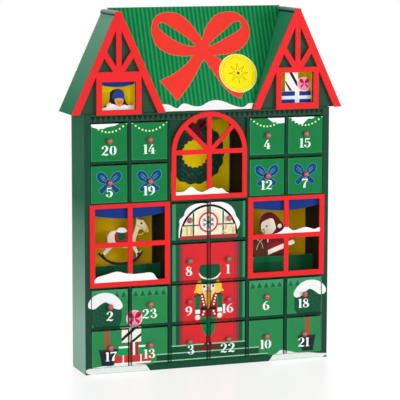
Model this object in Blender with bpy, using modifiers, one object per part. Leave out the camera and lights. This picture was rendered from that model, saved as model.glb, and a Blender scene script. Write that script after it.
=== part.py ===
"""A house-shaped card advent calendar with twenty-four sliding drawers.

The body is a flat carton: a back card, two hollow side walls, a hollow base
and a hollow head, with slotted dividers that make six columns by six rows of
cells.  Twenty-four cells hold a drawer.  Three groups of two by two cells are
rooms behind red window frames.  Above the head stand two gables with timber
frames and little rooms, and a sloping roof card fills the space between them.

Metres, +Z up, +X to the viewer's right, and the front faces -Y.  The origin
is under the middle of the whole object, on the surface it stands on.
"""
import math

import bmesh
import bpy

# Card stock and clearances
CARD = 0.0018
THIN_CARD = 0.0012
LINER_CARD = 0.0008
DIVIDER = 0.0034
GLUE_GAP = 0.0003
WELD_DISTANCE = 0.00001
UNION_OVERLAP = 0.0004

# Grid of cells, counted from the lower left
COLUMNS = 6
ROWS = 6
CELL_PITCH_X = 0.0565
CELL_PITCH_Z = 0.0560

# Carton round the grid
SIDE_RIM = 0.0082
BASE_HEIGHT = 0.0083
HEAD_HEIGHT = 0.0105
BODY_DEPTH = 0.0600

# Drawers
DRAWER_SIDE_PLAY = 0.0013
DRAWER_TOP_PLAY = 0.0023
DRAWER_BACK_PLAY = 0.0016
DRAWER_INSET = 0.0004
DRAWER_FRONT_CARD = 0.0016
TRAY_RIM_DROP = 0.0060
KNOB_RADIUS = 0.0038
KNOB_REACH = 0.0064
KNOB_RISE = 0.0020
KNOB_STEPS = 12

# Window frames
FRAME_BORDER = 0.0072
FRAME_TOP_BORDER = 0.0056
MUNTIN_WIDTH = 0.0066
ARCH_SIDE_CLEARANCE = 0.0022
ARCH_BORDER = 0.0066
ARCH_TOP_DROP = 0.0008
ARCH_SILL_RISE = 0.0012
SPOKE_WIDTH = 0.0060
ARCH_STEPS = 24
SOFT_STEPS = 3
SILL_SNOW_HEIGHT = 0.0135
BAR_SNOW_HEIGHT = 0.0079
ARCH_SNOW_HEIGHT = 0.0113

# Rooms behind the frames
LINER_SETBACK = 0.0030
VALANCE_SETBACK = 0.0034
VALANCE_TOP_DROP = 0.0030
VALANCE_DROP = 0.0158
VALANCE_END_DROP = 0.0093
VALANCE_STEPS = 12
FIGURE_DEPTH = 0.0300
GROUND_HEIGHT = 0.0217
HORSE_WIDTH = 0.0735
HORSE_HEIGHT = 0.0645
DOLL_WIDTH = 0.0640
DOLL_HEIGHT = 0.0630
DOLL_OFFSET = -0.0040
WREATH_RADIUS = 0.0420
WREATH_HOLE_RADIUS = 0.0195
WREATH_LEAF = 0.0011
WREATH_LEAVES = 18
WREATH_STEPS = 72
WREATH_DROP = 0.0093
WREATH_CARD = 0.0020
BOW_WIDTH = 0.0320
BOW_HEIGHT = 0.0300
BOW_DROP = 0.0200

# Gables and roof
GABLE_CENTRE = 0.1280
GABLE_FOOT_HALF = 0.0656
GABLE_SHOULDER_HALF = 0.0049
RIDGE_STRIP_HALF = 0.0037
RIDGE_STRIP_HEIGHT = 0.0038
GABLE_RISE = 0.1359
ROOF_LIP = 0.0020
ROOF_TOP_HALF = 0.1244
GABLE_INSET = 0.0030
RAFTER_WIDTH = 0.0110
KING_POST_WIDTH = 0.0074
STRUT_WIDTH = 0.0076
STRUT_FOOT_RISE = 0.0631
STRUT_HEAD_RISE = 0.0826
TIE_TOP_RISE = 0.0561
TIE_END_DEPTH = 0.0056
GABLE_WINDOW_BORDER = 0.0079
GABLE_WINDOW_DROP = 0.0012
LEFT_OPENING_RISES = (0.0055, 0.0427)
RIGHT_OPENING_RISES = (0.0071, 0.0490)
OPENING_MARGIN = 0.0006

# Little rooms in the gables
GABLE_ROOM_DEPTH = 0.0200
GABLE_FIGURE_SETBACK = 0.0016
GABLE_VALANCE_DROP = 0.0075
GABLE_VALANCE_END_DROP = 0.0035
GABLE_GIFT_RADIUS = 0.0102
GIFT_STEPS = 20

# Numbers on the drawers, top row first; None is part of a window
DRAWER_LAYOUT = (
    (20, 14, None, None, 4, 15),
    (5, 19, None, None, 12, 7),
    (None, None, 11, 24, None, None),
    (None, None, 8, 1, None, None),
    (2, 23, 9, 16, 6, 18),
    (17, 13, 3, 22, 10, 21),
)

# Snow lines, as (share of the half opening, share of the snow's height)
SILL_SNOW_SHARES = ((-1.0, 0.36), (-0.93, 0.55), (-0.7, 0.75), (-0.39, 1.0), (-0.16, 0.8),
                    (0.04, 0.66), (0.3, 0.68), (0.55, 0.73), (0.67, 0.57), (0.79, 0.0), (1.0, 0.0))
BAR_SNOW_SHARES = ((-1.0, 0.0), (-0.37, 0.0), (-0.16, 0.45), (-0.06, 1.0), (0.06, 1.0),
                   (0.22, 0.42), (0.44, 0.77), (0.61, 0.9), (0.84, 0.48), (0.96, 0.7), (1.0, 0.65))
ARCH_SNOW_SHARES = ((-1.0, 0.41), (-0.78, 0.43), (-0.56, 1.0), (-0.38, 0.5), (-0.22, 0.27),
                    (-0.1, 0.5), (0.12, 0.8), (0.28, 0.58), (0.37, 0.65), (0.6, 0.0), (1.0, 0.0))

# Rocking horse, as shares of its width and height from the ground at its left
HORSE_SHARES = (
    (0.612, 0.0), (0.758, 0.073), (0.85, 0.186), (0.886, 0.272), (0.846, 0.296), (0.808, 0.245),
    (0.757, 0.36), (0.74, 0.44), (0.748, 0.52), (0.768, 0.61), (0.792, 0.684), (0.82, 0.744),
    (0.886, 0.73), (0.939, 0.69), (0.972, 0.668), (1.0, 0.7), (0.976, 0.786), (0.926, 0.885),
    (0.878, 0.948), (0.82, 0.944), (0.79, 1.0), (0.763, 0.985), (0.758, 0.905), (0.744, 0.819),
    (0.715, 0.724), (0.68, 0.63), (0.64, 0.632), (0.595, 0.704), (0.524, 0.789), (0.427, 0.794),
    (0.367, 0.744), (0.299, 0.738), (0.234, 0.691), (0.198, 0.605), (0.204, 0.48), (0.178, 0.384),
    (0.086, 0.25), (0.052, 0.296), (0.016, 0.276), (0.05, 0.222), (0.11, 0.15), (0.201, 0.08),
    (0.297, 0.026), (0.38, 0.0))
HORSE_GAP_SHARES = (
    (0.135, 0.213), (0.215, 0.297), (0.298, 0.377), (0.395, 0.385), (0.577, 0.368), (0.662, 0.385),
    (0.715, 0.295), (0.762, 0.2), (0.728, 0.128), (0.612, 0.07), (0.442, 0.06), (0.297, 0.086),
    (0.201, 0.138))

# Doll in a long cap with a sack, as shares from the ground at its left
DOLL_SHARES = (
    (0.711, 0.0), (0.725, 0.183), (0.812, 0.222), (0.93, 0.236), (0.968, 0.286), (0.91, 0.35),
    (0.742, 0.325), (0.641, 0.444), (0.562, 0.515), (0.66, 0.54), (0.704, 0.61), (0.69, 0.69),
    (0.634, 0.775), (0.569, 0.865), (0.47, 0.95), (0.345, 0.985), (0.22, 0.94), (0.14, 0.82), (0.14, 0.667),
    (0.187, 0.556), (0.25, 0.484), (0.141, 0.452), (0.031, 0.429), (0.0, 0.254), (0.009, 0.079),
    (0.062, 0.0))

# Ribbon bow, right half, as shares of its half width and of its height
BOW_SHARES = ((0.0, 0.6), (0.35, 0.92), (0.85, 1.0), (1.0, 0.72), (0.6, 0.5), (0.3, 0.44),
              (0.75, 0.06), (0.4, 0.0), (0.0, 0.36))

# Snow and a doll's head behind the left gable window, as shares of the
# opening's width and height from its lower left
GABLE_DOLL_SHARES = (
    (1.0, 0.0), (1.0, 0.14), (0.9, 0.12), (0.82, 0.16), (0.765, 0.24), (0.715, 0.42), (0.7, 0.59),
    (0.62, 0.695), (0.5, 0.725), (0.37, 0.695), (0.29, 0.6), (0.28, 0.42), (0.25, 0.23), (0.17, 0.17),
    (0.08, 0.08), (0.0, 0.08), (0.0, 0.0))
# Parcels behind the right gable window, from the same corner
GIFT_TOP_SHARE = 0.37
GIFT_LEFT_SHARE = 0.08
TALL_GIFT_SHARES = (0.18, 0.585)
ROUND_GIFT_SHARE = 0.765

# Sizes that follow from those above
FRONT_Y = -(BODY_DEPTH + DRAWER_INSET - KNOB_REACH) / 2
PLATE_DEPTH = BODY_DEPTH - CARD - GLUE_GAP
BODY_HALF_WIDTH = COLUMNS * CELL_PITCH_X / 2 - DIVIDER / 2 + SIDE_RIM
GRID_HALF_WIDTH = BODY_HALF_WIDTH - SIDE_RIM
GRID_TOP = BASE_HEIGHT + ROWS * CELL_PITCH_Z - DIVIDER
EAVE_Z = GRID_TOP + HEAD_HEIGHT
ARCH_RADIUS = CELL_PITCH_X - ARCH_SIDE_CLEARANCE
DRAWER_WIDTH = CELL_PITCH_X - DIVIDER - 2 * DRAWER_SIDE_PLAY
DRAWER_HEIGHT = CELL_PITCH_Z - DIVIDER - GLUE_GAP - DRAWER_TOP_PLAY
DRAWER_DEPTH = PLATE_DEPTH - DRAWER_INSET - DRAWER_BACK_PLAY
GABLE_SHOULDER_RISE = GABLE_RISE - RIDGE_STRIP_HEIGHT
ROOF_RISE = GABLE_RISE + ROOF_LIP
GABLE_SLOPE = GABLE_SHOULDER_RISE / (GABLE_FOOT_HALF - GABLE_SHOULDER_HALF)
GABLE_WINDOW_RISE = TIE_TOP_RISE - TIE_END_DEPTH
GABLE_WINDOW_HALF = GABLE_FOOT_HALF - RAFTER_WIDTH - GABLE_WINDOW_RISE / GABLE_SLOPE
GABLE_OPENING_HALF = GABLE_WINDOW_HALF - GABLE_WINDOW_BORDER

# Directions of a flat card: seen from the front, from the side, or lying down
FACING = (math.pi / 2, 0.0, 0.0)
SIDEWAYS = (math.pi / 2, 0.0, math.pi / 2)
LYING = (0.0, 0.0, 0.0)

# Colours of the printed card
FIR_GREEN = (0.02, 0.25, 0.08)
DARK_GREEN = (0.017, 0.069, 0.036)
SIDE_GREEN = (0.05, 0.21, 0.12)
FRAME_RED = (0.88, 0.03, 0.045)
DOOR_RED = (0.69, 0.03, 0.042)
WALL_YELLOW = (0.9, 0.62, 0.01)
PAPER_WHITE = (0.86, 0.84, 0.8)
CARD_ROUGHNESS = 0.55


def clear_scene():
    """Remove every object that the new file starts with."""
    for item in list(bpy.data.objects):
        bpy.data.objects.remove(item, do_unlink=True)


def new_collection(name):
    """Make a collection under the scene's own."""
    made = bpy.data.collections.new(name)
    bpy.context.scene.collection.children.link(made)
    return made


def printed_card(name, colour):
    """Make the material of one piece of printed card."""
    made = bpy.data.materials.new(name)
    made.use_nodes = True
    shader = made.node_tree.nodes["Principled BSDF"]
    shader.inputs["Base Color"].default_value = (*colour, 1.0)
    shader.inputs["Roughness"].default_value = CARD_ROUGHNESS
    shader.inputs["Metallic"].default_value = 0.0
    return made


def place(piece, colour):
    """Give a finished piece its material and put it in the calendar's collection."""
    piece.data.materials.clear()
    piece.data.materials.append(printed_card(piece.name + "_card", colour))
    calendar_pieces.objects.link(piece)
    return piece


def keep_as_cutter(piece):
    """Keep a shape that only joins or cuts another one."""
    piece.hide_render = True
    piece.display_type = "WIRE"
    cutters.objects.link(piece)
    return piece


def unite(piece, other):
    """Join another shape to a piece with a Boolean modifier."""
    joined = piece.modifiers.new("join_" + other.name, "BOOLEAN")
    joined.operation = "UNION"
    joined.object = other
    return piece


def evaluated_mesh(piece, name):
    """Copy what a curve or a piece with modifiers looks like into a new mesh."""
    bpy.context.view_layer.update()
    depsgraph = bpy.context.evaluated_depsgraph_get()
    mesh = bpy.data.meshes.new_from_object(piece.evaluated_get(depsgraph))
    mesh.name = name
    welded = bmesh.new()
    welded.from_mesh(mesh)
    bmesh.ops.remove_doubles(welded, verts=welded.verts, dist=WELD_DISTANCE)
    bmesh.ops.recalc_face_normals(welded, faces=welded.faces)
    welded.to_mesh(mesh)
    welded.free()
    return mesh


def cut_card(name, outline, thickness, facing, location, holes=()):
    """Cut a flat card from its outline and holes, as a thickened 2D curve."""
    curve = bpy.data.curves.new(name + "_outline", "CURVE")
    curve.dimensions = "2D"
    curve.fill_mode = "BOTH"
    curve.extrude = thickness / 2
    for path in (outline, *holes):
        spline = curve.splines.new("POLY")
        spline.points.add(len(path) - 1)
        for point, (across, up) in zip(spline.points, path):
            point.co = (across, up, 0.0, 1.0)
        spline.use_cyclic_u = True
    drawn = bpy.data.objects.new(name + "_outline", curve)
    bpy.context.scene.collection.objects.link(drawn)
    mesh = evaluated_mesh(drawn, name)
    bpy.data.objects.remove(drawn, do_unlink=True)
    bpy.data.curves.remove(curve)
    piece = bpy.data.objects.new(name, mesh)
    piece.rotation_euler = facing
    piece.location = location
    return piece


def front_card(name, outline, near, thickness, holes=()):
    """Cut a card that faces the front; near is its depth behind the front plane."""
    middle = (0.0, FRONT_Y + near + thickness / 2, 0.0)
    return cut_card(name, outline, thickness, FACING, middle, holes)


def rectangle(left, right, low, high):
    """List the corners of a rectangle."""
    return [(left, low), (right, low), (right, high), (left, high)]


def arc(radius, start, stop, steps, centre=(0.0, 0.0)):
    """List points along a round stretch, from one angle to another."""
    angles = [start + (stop - start) * step / steps for step in range(steps + 1)]
    return [(centre[0] + radius * math.cos(a), centre[1] + radius * math.sin(a)) for a in angles]


def softened(points):
    """Draw a smooth line through the points of a cut-out's outline, ends included."""
    guides = [points[0], *points, points[-1]]
    smooth = []
    for before, start, stop, after in zip(guides, guides[1:], guides[2:], guides[3:]):
        for step in range(SOFT_STEPS):
            t = step / SOFT_STEPS
            smooth.append(tuple(
                start[i] + t * (stop[i] - before[i]) / 2
                + t ** 2 * (2 * before[i] - 5 * start[i] + 4 * stop[i] - after[i]) / 2
                + t ** 3 * (3 * start[i] - before[i] - 3 * stop[i] + after[i]) / 2 for i in (0, 1)))
    return [*smooth, points[-1]]


def column_line(index):
    """Place of the line between two columns, counted from the left side."""
    return (index - COLUMNS / 2) * CELL_PITCH_X


def row_line(index):
    """Height of the line between two rows, counted from the base."""
    return BASE_HEIGHT - DIVIDER / 2 + index * CELL_PITCH_Z


def room_box(left_column, right_column, low_row, high_row):
    """Clear space between the dividers round a block of cells."""
    return (column_line(left_column) + DIVIDER / 2, column_line(right_column) - DIVIDER / 2,
            row_line(low_row) + DIVIDER / 2, row_line(high_row) - DIVIDER / 2)


def build_carton():
    """Back card, hollow side walls, hollow base and hollow head."""
    shoulder = GABLE_CENTRE + GABLE_SHOULDER_HALF
    right_side = [
        (BODY_HALF_WIDTH, 0.0), (BODY_HALF_WIDTH, EAVE_Z), (GABLE_CENTRE + GABLE_FOOT_HALF, EAVE_Z),
        (shoulder, EAVE_Z + GABLE_SHOULDER_RISE), (GABLE_CENTRE + RIDGE_STRIP_HALF, EAVE_Z + GABLE_RISE),
        (ROOF_TOP_HALF, EAVE_Z + GABLE_RISE), (ROOF_TOP_HALF, EAVE_Z + ROOF_RISE)]
    left_side = [(-across, up) for across, up in reversed(right_side)]
    back = front_card("back_panel", right_side + left_side, BODY_DEPTH - CARD, CARD)
    place(back, DARK_GREEN)

    for name, side in (("left_side_wall", -1), ("right_side_wall", 1)):
        outer, inner = side * BODY_HALF_WIDTH, side * GRID_HALF_WIDTH
        skin = side * CARD
        folded = [(outer, 0.0), (inner, 0.0), (inner, PLATE_DEPTH), (inner + skin, PLATE_DEPTH),
                  (inner + skin, CARD), (outer - skin, CARD), (outer - skin, PLATE_DEPTH),
                  (outer, PLATE_DEPTH)]
        wall = cut_card(name, folded, EAVE_Z, LYING, (0.0, FRONT_Y, EAVE_Z / 2))
        place(wall, SIDE_GREEN)

    span = 2 * (GRID_HALF_WIDTH - GLUE_GAP)
    for name, low, high in (("base_rail", 0.0, BASE_HEIGHT), ("head_rail", GRID_TOP, EAVE_Z)):
        folded = [(0.0, low), (PLATE_DEPTH, low), (PLATE_DEPTH, low + CARD), (CARD, low + CARD),
                  (CARD, high - CARD), (PLATE_DEPTH, high - CARD), (PLATE_DEPTH, high), (0.0, high)]
        rail = cut_card(name, folded, span, SIDEWAYS, (0.0, FRONT_Y, 0.0))
        place(rail, DARK_GREEN)


def slotted_strip(start, end, slots, slots_in_front):
    """Outline of a divider as (along, depth), with half-depth slots at the crossings."""
    slot_half = DIVIDER / 2 + GLUE_GAP
    lap = (PLATE_DEPTH - GLUE_GAP) / 2
    slotted_edge = 0.0 if slots_in_front else PLATE_DEPTH
    plain_edge = PLATE_DEPTH - slotted_edge
    slot_end = PLATE_DEPTH - lap if slots_in_front else lap
    path = [(end, plain_edge), (start, plain_edge), (start, slotted_edge)]
    for middle in slots:
        path += [(middle - slot_half, slotted_edge), (middle - slot_half, slot_end),
                 (middle + slot_half, slot_end), (middle + slot_half, slotted_edge)]
    path.append((end, slotted_edge))
    return path


def build_shelf(name, line, left, right, crossings):
    """Horizontal divider on a row line, slotted from the front."""
    outline = slotted_strip(left + GLUE_GAP, right - GLUE_GAP,
                            [column_line(c) for c in crossings], True)
    shelf = cut_card(name, outline, DIVIDER, LYING, (0.0, FRONT_Y, row_line(line)))
    place(shelf, DARK_GREEN)


def build_upright(name, line, low, high, crossings):
    """Vertical divider on a column line, slotted from the back."""
    strip = slotted_strip(low + GLUE_GAP, high - GLUE_GAP, [row_line(r) for r in crossings], False)
    outline = [(depth, along) for along, depth in strip]
    upright = cut_card(name, outline, DIVIDER, SIDEWAYS, (column_line(line), FRONT_Y, 0.0))
    place(upright, DARK_GREEN)


def build_dividers():
    """Egg-crate of shelves and uprights round the drawers and the three rooms."""
    half = DIVIDER / 2
    walls = (-GRID_HALF_WIDTH, GRID_HALF_WIDTH)
    left_post, right_post = column_line(2), column_line(4)
    build_shelf("shelf_row_5", 1, *walls, (1, 2, 3, 4, 5))
    build_shelf("shelf_row_4", 2, *walls, (2, 3, 4))
    build_shelf("shelf_row_2", 4, *walls, (2, 4))
    build_shelf("shelf_row_3_middle", 3, left_post + half, right_post - half, (3,))
    build_shelf("shelf_row_1_left", 5, walls[0], left_post - half, (1,))
    build_shelf("shelf_row_1_right", 5, right_post + half, walls[1], (5,))
    build_upright("upright_2", 2, BASE_HEIGHT, GRID_TOP, (1, 2, 4))
    build_upright("upright_4", 4, BASE_HEIGHT, GRID_TOP, (1, 2, 4))
    build_upright("upright_3_middle", 3, BASE_HEIGHT, row_line(4) - half, (1, 2, 3))
    for column in (1, 5):
        build_upright(f"upright_{column}_low", column, BASE_HEIGHT, row_line(2) - half, (1,))
        build_upright(f"upright_{column}_high", column, row_line(4) + half, GRID_TOP, (5,))


def build_knob():
    """Turned knob a little above the drawer's axis: a neck, a rim and a low dome."""
    neck = KNOB_RADIUS / 2
    rim_height = KNOB_REACH / 2
    profile = [(0.0, KNOB_REACH), (KNOB_RADIUS / 2, KNOB_REACH - KNOB_RADIUS / 8),
               (KNOB_RADIUS - KNOB_RADIUS / 8, KNOB_REACH - KNOB_RADIUS / 2),
               (KNOB_RADIUS, rim_height + KNOB_RADIUS / 8), (KNOB_RADIUS - KNOB_RADIUS / 8, rim_height),
               (neck, rim_height - KNOB_RADIUS / 8), (neck, -DRAWER_FRONT_CARD / 2),
               (0.0, -DRAWER_FRONT_CARD / 2)]
    mesh = bpy.data.meshes.new("knob_profile")
    mesh.from_pydata([(x, 0.0, z) for x, z in profile],
                     [(i, i + 1) for i in range(len(profile) - 1)], [])
    knob = bpy.data.objects.new("drawer_knob", mesh)
    turned = knob.modifiers.new("turned", "SCREW")
    turned.steps = KNOB_STEPS
    turned.render_steps = KNOB_STEPS
    turned.use_merge_vertices = True
    turned.merge_threshold = WELD_DISTANCE
    knob.rotation_euler = FACING
    bpy.context.scene.collection.objects.link(knob)
    solid = bpy.data.objects.new("drawer_knob_shape", evaluated_mesh(knob, "drawer_knob_shape"))
    solid.rotation_euler = FACING
    solid.location = (0.0, 0.0, KNOB_RISE)
    bpy.data.objects.remove(knob, do_unlink=True)
    return keep_as_cutter(solid)


def box_mesh(name, size, centre):
    """Make a box from Blender's cube."""
    shape = bmesh.new()
    bmesh.ops.create_cube(shape, size=1.0)
    bmesh.ops.scale(shape, vec=size, verts=shape.verts)
    bmesh.ops.translate(shape, vec=centre, verts=shape.verts)
    mesh = bpy.data.meshes.new(name)
    shape.to_mesh(mesh)
    shape.free()
    return mesh


def open_box_mesh(name, size, centre, open_side):
    """Make a box without the face that looks along open_side."""
    mesh = box_mesh(name, size, centre)
    shape = bmesh.new()
    shape.from_mesh(mesh)
    open_faces = [f for f in shape.faces if f.normal.dot(open_side) > 0.5]
    bmesh.ops.delete(shape, geom=open_faces, context="FACES")
    shape.to_mesh(mesh)
    shape.free()
    return mesh


def thicken_inwards(piece, thickness):
    """Give an open shell its card thickness, on the inside."""
    walls = piece.modifiers.new("card", "SOLIDIFY")
    walls.thickness = thickness
    walls.offset = -1.0
    walls.use_even_offset = True
    return piece


def build_drawers():
    """Open trays with a thicker front card and a knob; the origin is the middle of the front."""
    tray_height = DRAWER_HEIGHT - TRAY_RIM_DROP
    tray_depth = DRAWER_DEPTH - DRAWER_FRONT_CARD / 2
    tray_y = DRAWER_FRONT_CARD / 2 + tray_depth / 2
    tray_size = (DRAWER_WIDTH - 2 * GLUE_GAP, tray_depth, tray_height)
    tray_mesh = open_box_mesh("drawer_tray", tray_size, (0.0, tray_y, -TRAY_RIM_DROP / 2), (0, 0, 1))
    tray = thicken_inwards(bpy.data.objects.new("drawer_tray", tray_mesh), THIN_CARD)
    bpy.context.scene.collection.objects.link(tray)
    front_size = (DRAWER_WIDTH, DRAWER_FRONT_CARD, DRAWER_HEIGHT)
    front_mesh = box_mesh("drawer_front", front_size, (0.0, DRAWER_FRONT_CARD / 2, 0.0))
    unite(tray, keep_as_cutter(bpy.data.objects.new("drawer_front", front_mesh)))
    unite(tray, build_knob())
    drawer_mesh = evaluated_mesh(tray, "drawer")
    bpy.data.objects.remove(tray, do_unlink=True)

    for row, numbers in enumerate(DRAWER_LAYOUT):
        for column, number in enumerate(numbers):
            if number is None:
                continue
            drawer = bpy.data.objects.new(f"drawer_{number:02d}", drawer_mesh.copy())
            floor = row_line(ROWS - 1 - row) + DIVIDER / 2 + GLUE_GAP
            drawer.location = (column_line(column) + CELL_PITCH_X / 2, FRONT_Y + DRAWER_INSET,
                               floor + DRAWER_HEIGHT / 2)
            in_door = column in (2, 3) and row > 2
            place(drawer, DOOR_RED if in_door else FIR_GREEN)


def height_on_line(line_shares, share):
    """Height share of a snow line at one place across it."""
    for (left, low), (right, high) in zip(line_shares, line_shares[1:]):
        if left <= share <= right:
            return max(low + (high - low) * (share - left) / (right - left), 0.0)
    return 0.0


def snow_edge(line_shares, left, right, centre, half, sill, height):
    """Lower edge of a pane from left to right, where snow lies on the sill."""
    ends = [(left - centre) / half, (right - centre) / half]
    inside = [share for share, _ in line_shares if ends[0] < share < ends[1]]
    return [(centre + share * half, sill + height * height_on_line(line_shares, share))
            for share in (ends[0], *inside, ends[1])]


def build_square_window(name, centre, sill_snow, bar_snow):
    """Red frame with a cross of muntins over two by two cells, with its snow."""
    half_x, half_z = CELL_PITCH_X, CELL_PITCH_Z
    middle = row_line(3)
    open_x, sill = half_x - FRAME_BORDER, middle - half_z + FRAME_BORDER
    head = middle + half_z - FRAME_TOP_BORDER
    bar = MUNTIN_WIDTH / 2
    bar_z = (sill + head) / 2
    lines = {-1: (sill, bar_z - bar, sill_snow, SILL_SNOW_HEIGHT),
             1: (bar_z + bar, head, bar_snow, BAR_SNOW_HEIGHT)}
    holes = []
    for low, high, snow, snow_height in lines.values():
        for left, right in ((centre - open_x, centre - bar), (centre + bar, centre + open_x)):
            lower_edge = snow_edge(softened(snow), left, right, centre, open_x, low, snow_height)
            holes.append(lower_edge + [(right, high), (left, high)])
    outline = rectangle(centre - half_x, centre + half_x, middle - half_z, middle + half_z)
    place(front_card(name, outline, -GLUE_GAP - CARD, CARD, holes), FRAME_RED)


def meet(first_angle, first_offset, second_angle, second_offset):
    """Crossing of two lines, each given by its direction and its offset to the left."""
    turn = math.sin(second_angle - first_angle)
    across = first_offset * math.cos(second_angle) - second_offset * math.cos(first_angle)
    up = first_offset * math.sin(second_angle) - second_offset * math.sin(first_angle)
    return across / turn, up / turn


def build_arched_window():
    """Red frame with a round head, a cross and two spokes."""
    centre_z = EAVE_Z - ARCH_TOP_DROP - ARCH_RADIUS
    low = row_line(4) + ARCH_SILL_RISE
    outline = [(-ARCH_RADIUS, low), (ARCH_RADIUS, low)]
    outline += arc(ARCH_RADIUS, 0.0, math.pi, ARCH_STEPS, (0.0, centre_z))

    inner = ARCH_RADIUS - ARCH_BORDER
    bar = MUNTIN_WIDTH / 2
    bars = [(0.0, bar), (math.pi / 4, SPOKE_WIDTH / 2), (math.pi / 2, bar),
            (3 * math.pi / 4, SPOKE_WIDTH / 2), (math.pi, bar)]
    holes = []
    for (low_angle, low_half), (high_angle, high_half) in zip(bars, bars[1:]):
        corner = meet(low_angle, low_half, high_angle, -high_half)
        start = low_angle + math.asin(low_half / inner)
        stop = high_angle - math.asin(high_half / inner)
        pane = arc(inner, start, stop, ARCH_STEPS // 4) + [corner]
        holes.append([(across, up + centre_z) for across, up in pane])
    sill = low + ARCH_BORDER
    for left, right in ((-inner, -bar), (bar, inner)):
        lower_edge = snow_edge(softened(ARCH_SNOW_SHARES), left, right, 0.0, inner, sill,
                               ARCH_SNOW_HEIGHT)
        holes.append(lower_edge + [(right, centre_z - bar), (left, centre_z - bar)])
    place(front_card("arched_window_frame", outline, -GLUE_GAP - CARD, CARD, holes), FRAME_RED)


def build_liner(name, room, front):
    """Three-sided card lining of a room, with a card across its front."""
    left, right, low, high = room
    left, right, low, high = left + GLUE_GAP, right - GLUE_GAP, low + GLUE_GAP, high - GLUE_GAP
    near, far = LINER_SETBACK, PLATE_DEPTH
    inner_left, inner_right = left + LINER_CARD, right - LINER_CARD
    folded = [(left, near), (inner_left, near), (inner_left, far - LINER_CARD),
              (inner_right, far - LINER_CARD), (inner_right, near), (right, near),
              (right, far), (left, far)]
    liner = cut_card(name, folded, high - low, LYING, (0.0, FRONT_Y, (low + high) / 2))
    unite(liner, keep_as_cutter(front))
    place(liner, WALL_YELLOW)


def valance(name, left, right, top, drops, near):
    """Blind across the top of a room: straight above, a shallow curve below."""
    middle_drop, end_drop = drops
    steps = range(VALANCE_STEPS + 1)
    shares = [2 * step / VALANCE_STEPS - 1 for step in steps]
    centre, half = (left + right) / 2, (right - left) / 2
    curve = [(centre + share * half, top - middle_drop + (middle_drop - end_drop) * share ** 2)
             for share in shares]
    return front_card(name, curve + [(right, top), (left, top)], near, THIN_CARD)


def build_figure(name, room, offset, outline_shares, size, gap_shares=()):
    """Standing card across a room: a strip of ground with a figure on it."""
    left, right, low, _ = room
    width, height = size
    ground = low + GROUND_HEIGHT
    edge = LINER_CARD + 2 * GLUE_GAP
    start = (left + right) / 2 + offset - width / 2

    def spread(shares):
        return [(start + across * width, ground + up * height) for across, up in softened(shares)]

    outline = rectangle(left + edge, right - edge, low + GLUE_GAP, ground)
    outline = outline[:3] + spread(outline_shares) + outline[3:]
    holes = [spread((*gap_shares, gap_shares[0]))[:-1]] if gap_shares else []
    place(front_card(name, outline, FIGURE_DEPTH, THIN_CARD, holes), PAPER_WHITE)


def build_rooms():
    """Liners, blinds and figures of the three large rooms."""
    left_room = room_box(0, 2, 2, 4)
    right_room = room_box(4, 6, 2, 4)
    arched_room = room_box(2, 4, 4, 6)
    for side, room in (("left", left_room), ("right", right_room)):
        inset = GLUE_GAP + LINER_CARD / 2
        blind = valance(f"{side}_blind", room[0] + inset, room[1] - inset, room[3] - VALANCE_TOP_DROP,
                        (VALANCE_DROP, VALANCE_END_DROP), VALANCE_SETBACK)
        build_liner(f"{side}_room_liner", room, blind)

    centre_z = EAVE_Z - ARCH_TOP_DROP - ARCH_RADIUS
    reveal = ARCH_RADIUS - ARCH_BORDER / 2
    inset = GLUE_GAP + LINER_CARD / 2
    edge = arched_room[1] - inset
    top = arched_room[3] - GLUE_GAP - UNION_OVERLAP
    crown = math.asin((top - LINER_CARD - centre_z) / reveal)
    haunch = arc(reveal, crown, 0.0, ARCH_STEPS // 2, (0.0, centre_z)) + [(edge, centre_z), (edge, top)]
    left_haunch = [(-across, up) for across, up in reversed(haunch)]
    spandrel = front_card("arched_room_spandrel", haunch + left_haunch, VALANCE_SETBACK, THIN_CARD)
    build_liner("arched_room_liner", arched_room, spandrel)

    build_figure("rocking_horse", left_room, 0.0, HORSE_SHARES, (HORSE_WIDTH, HORSE_HEIGHT),
                 HORSE_GAP_SHARES)
    build_figure("doll_with_sack", right_room, DOLL_OFFSET, DOLL_SHARES, (DOLL_WIDTH, DOLL_HEIGHT))
    build_wreath(centre_z - WREATH_DROP)


def build_wreath(centre_z):
    """Leafy ring of card on the back of the arched room, with a ribbon bow."""
    def leafy_ring(radius):
        angles = [2 * math.pi * step / WREATH_STEPS for step in range(WREATH_STEPS)]
        radii = [radius + WREATH_LEAF * math.cos(WREATH_LEAVES * a) for a in angles]
        return [(r * math.cos(a), centre_z + r * math.sin(a)) for r, a in zip(radii, angles)]

    near = PLATE_DEPTH - LINER_CARD - GLUE_GAP - WREATH_CARD
    ring = front_card("wreath", leafy_ring(WREATH_RADIUS), near, WREATH_CARD,
                      [leafy_ring(WREATH_HOLE_RADIUS)])
    foot = centre_z + WREATH_HOLE_RADIUS
    right_half = [(across * BOW_WIDTH / 2, foot + up * BOW_HEIGHT)
                  for across, up in softened(BOW_SHARES)]
    left_half = [(-across, up) for across, up in reversed(right_half[1:-1])]
    bow = front_card("wreath_bow", right_half + left_half, near - THIN_CARD + UNION_OVERLAP, THIN_CARD)
    unite(ring, keep_as_cutter(bow))
    place(ring, DARK_GREEN)


def gable_half(rise):
    """Half width of a gable's outer face at a height above the eave."""
    if rise <= GABLE_SHOULDER_RISE:
        return GABLE_FOOT_HALF - rise / GABLE_SLOPE
    share = (rise - GABLE_SHOULDER_RISE) / (GABLE_RISE - GABLE_SHOULDER_RISE)
    return GABLE_SHOULDER_HALF + share * (RIDGE_STRIP_HALF - GABLE_SHOULDER_HALF)


def mirrored(right_half, centre):
    """Close a right half, given upwards, with its mirror image."""
    left_half = [(-across, up) for across, up in reversed(right_half)]
    return [(centre + across, EAVE_Z + up) for across, up in right_half + left_half]


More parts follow.
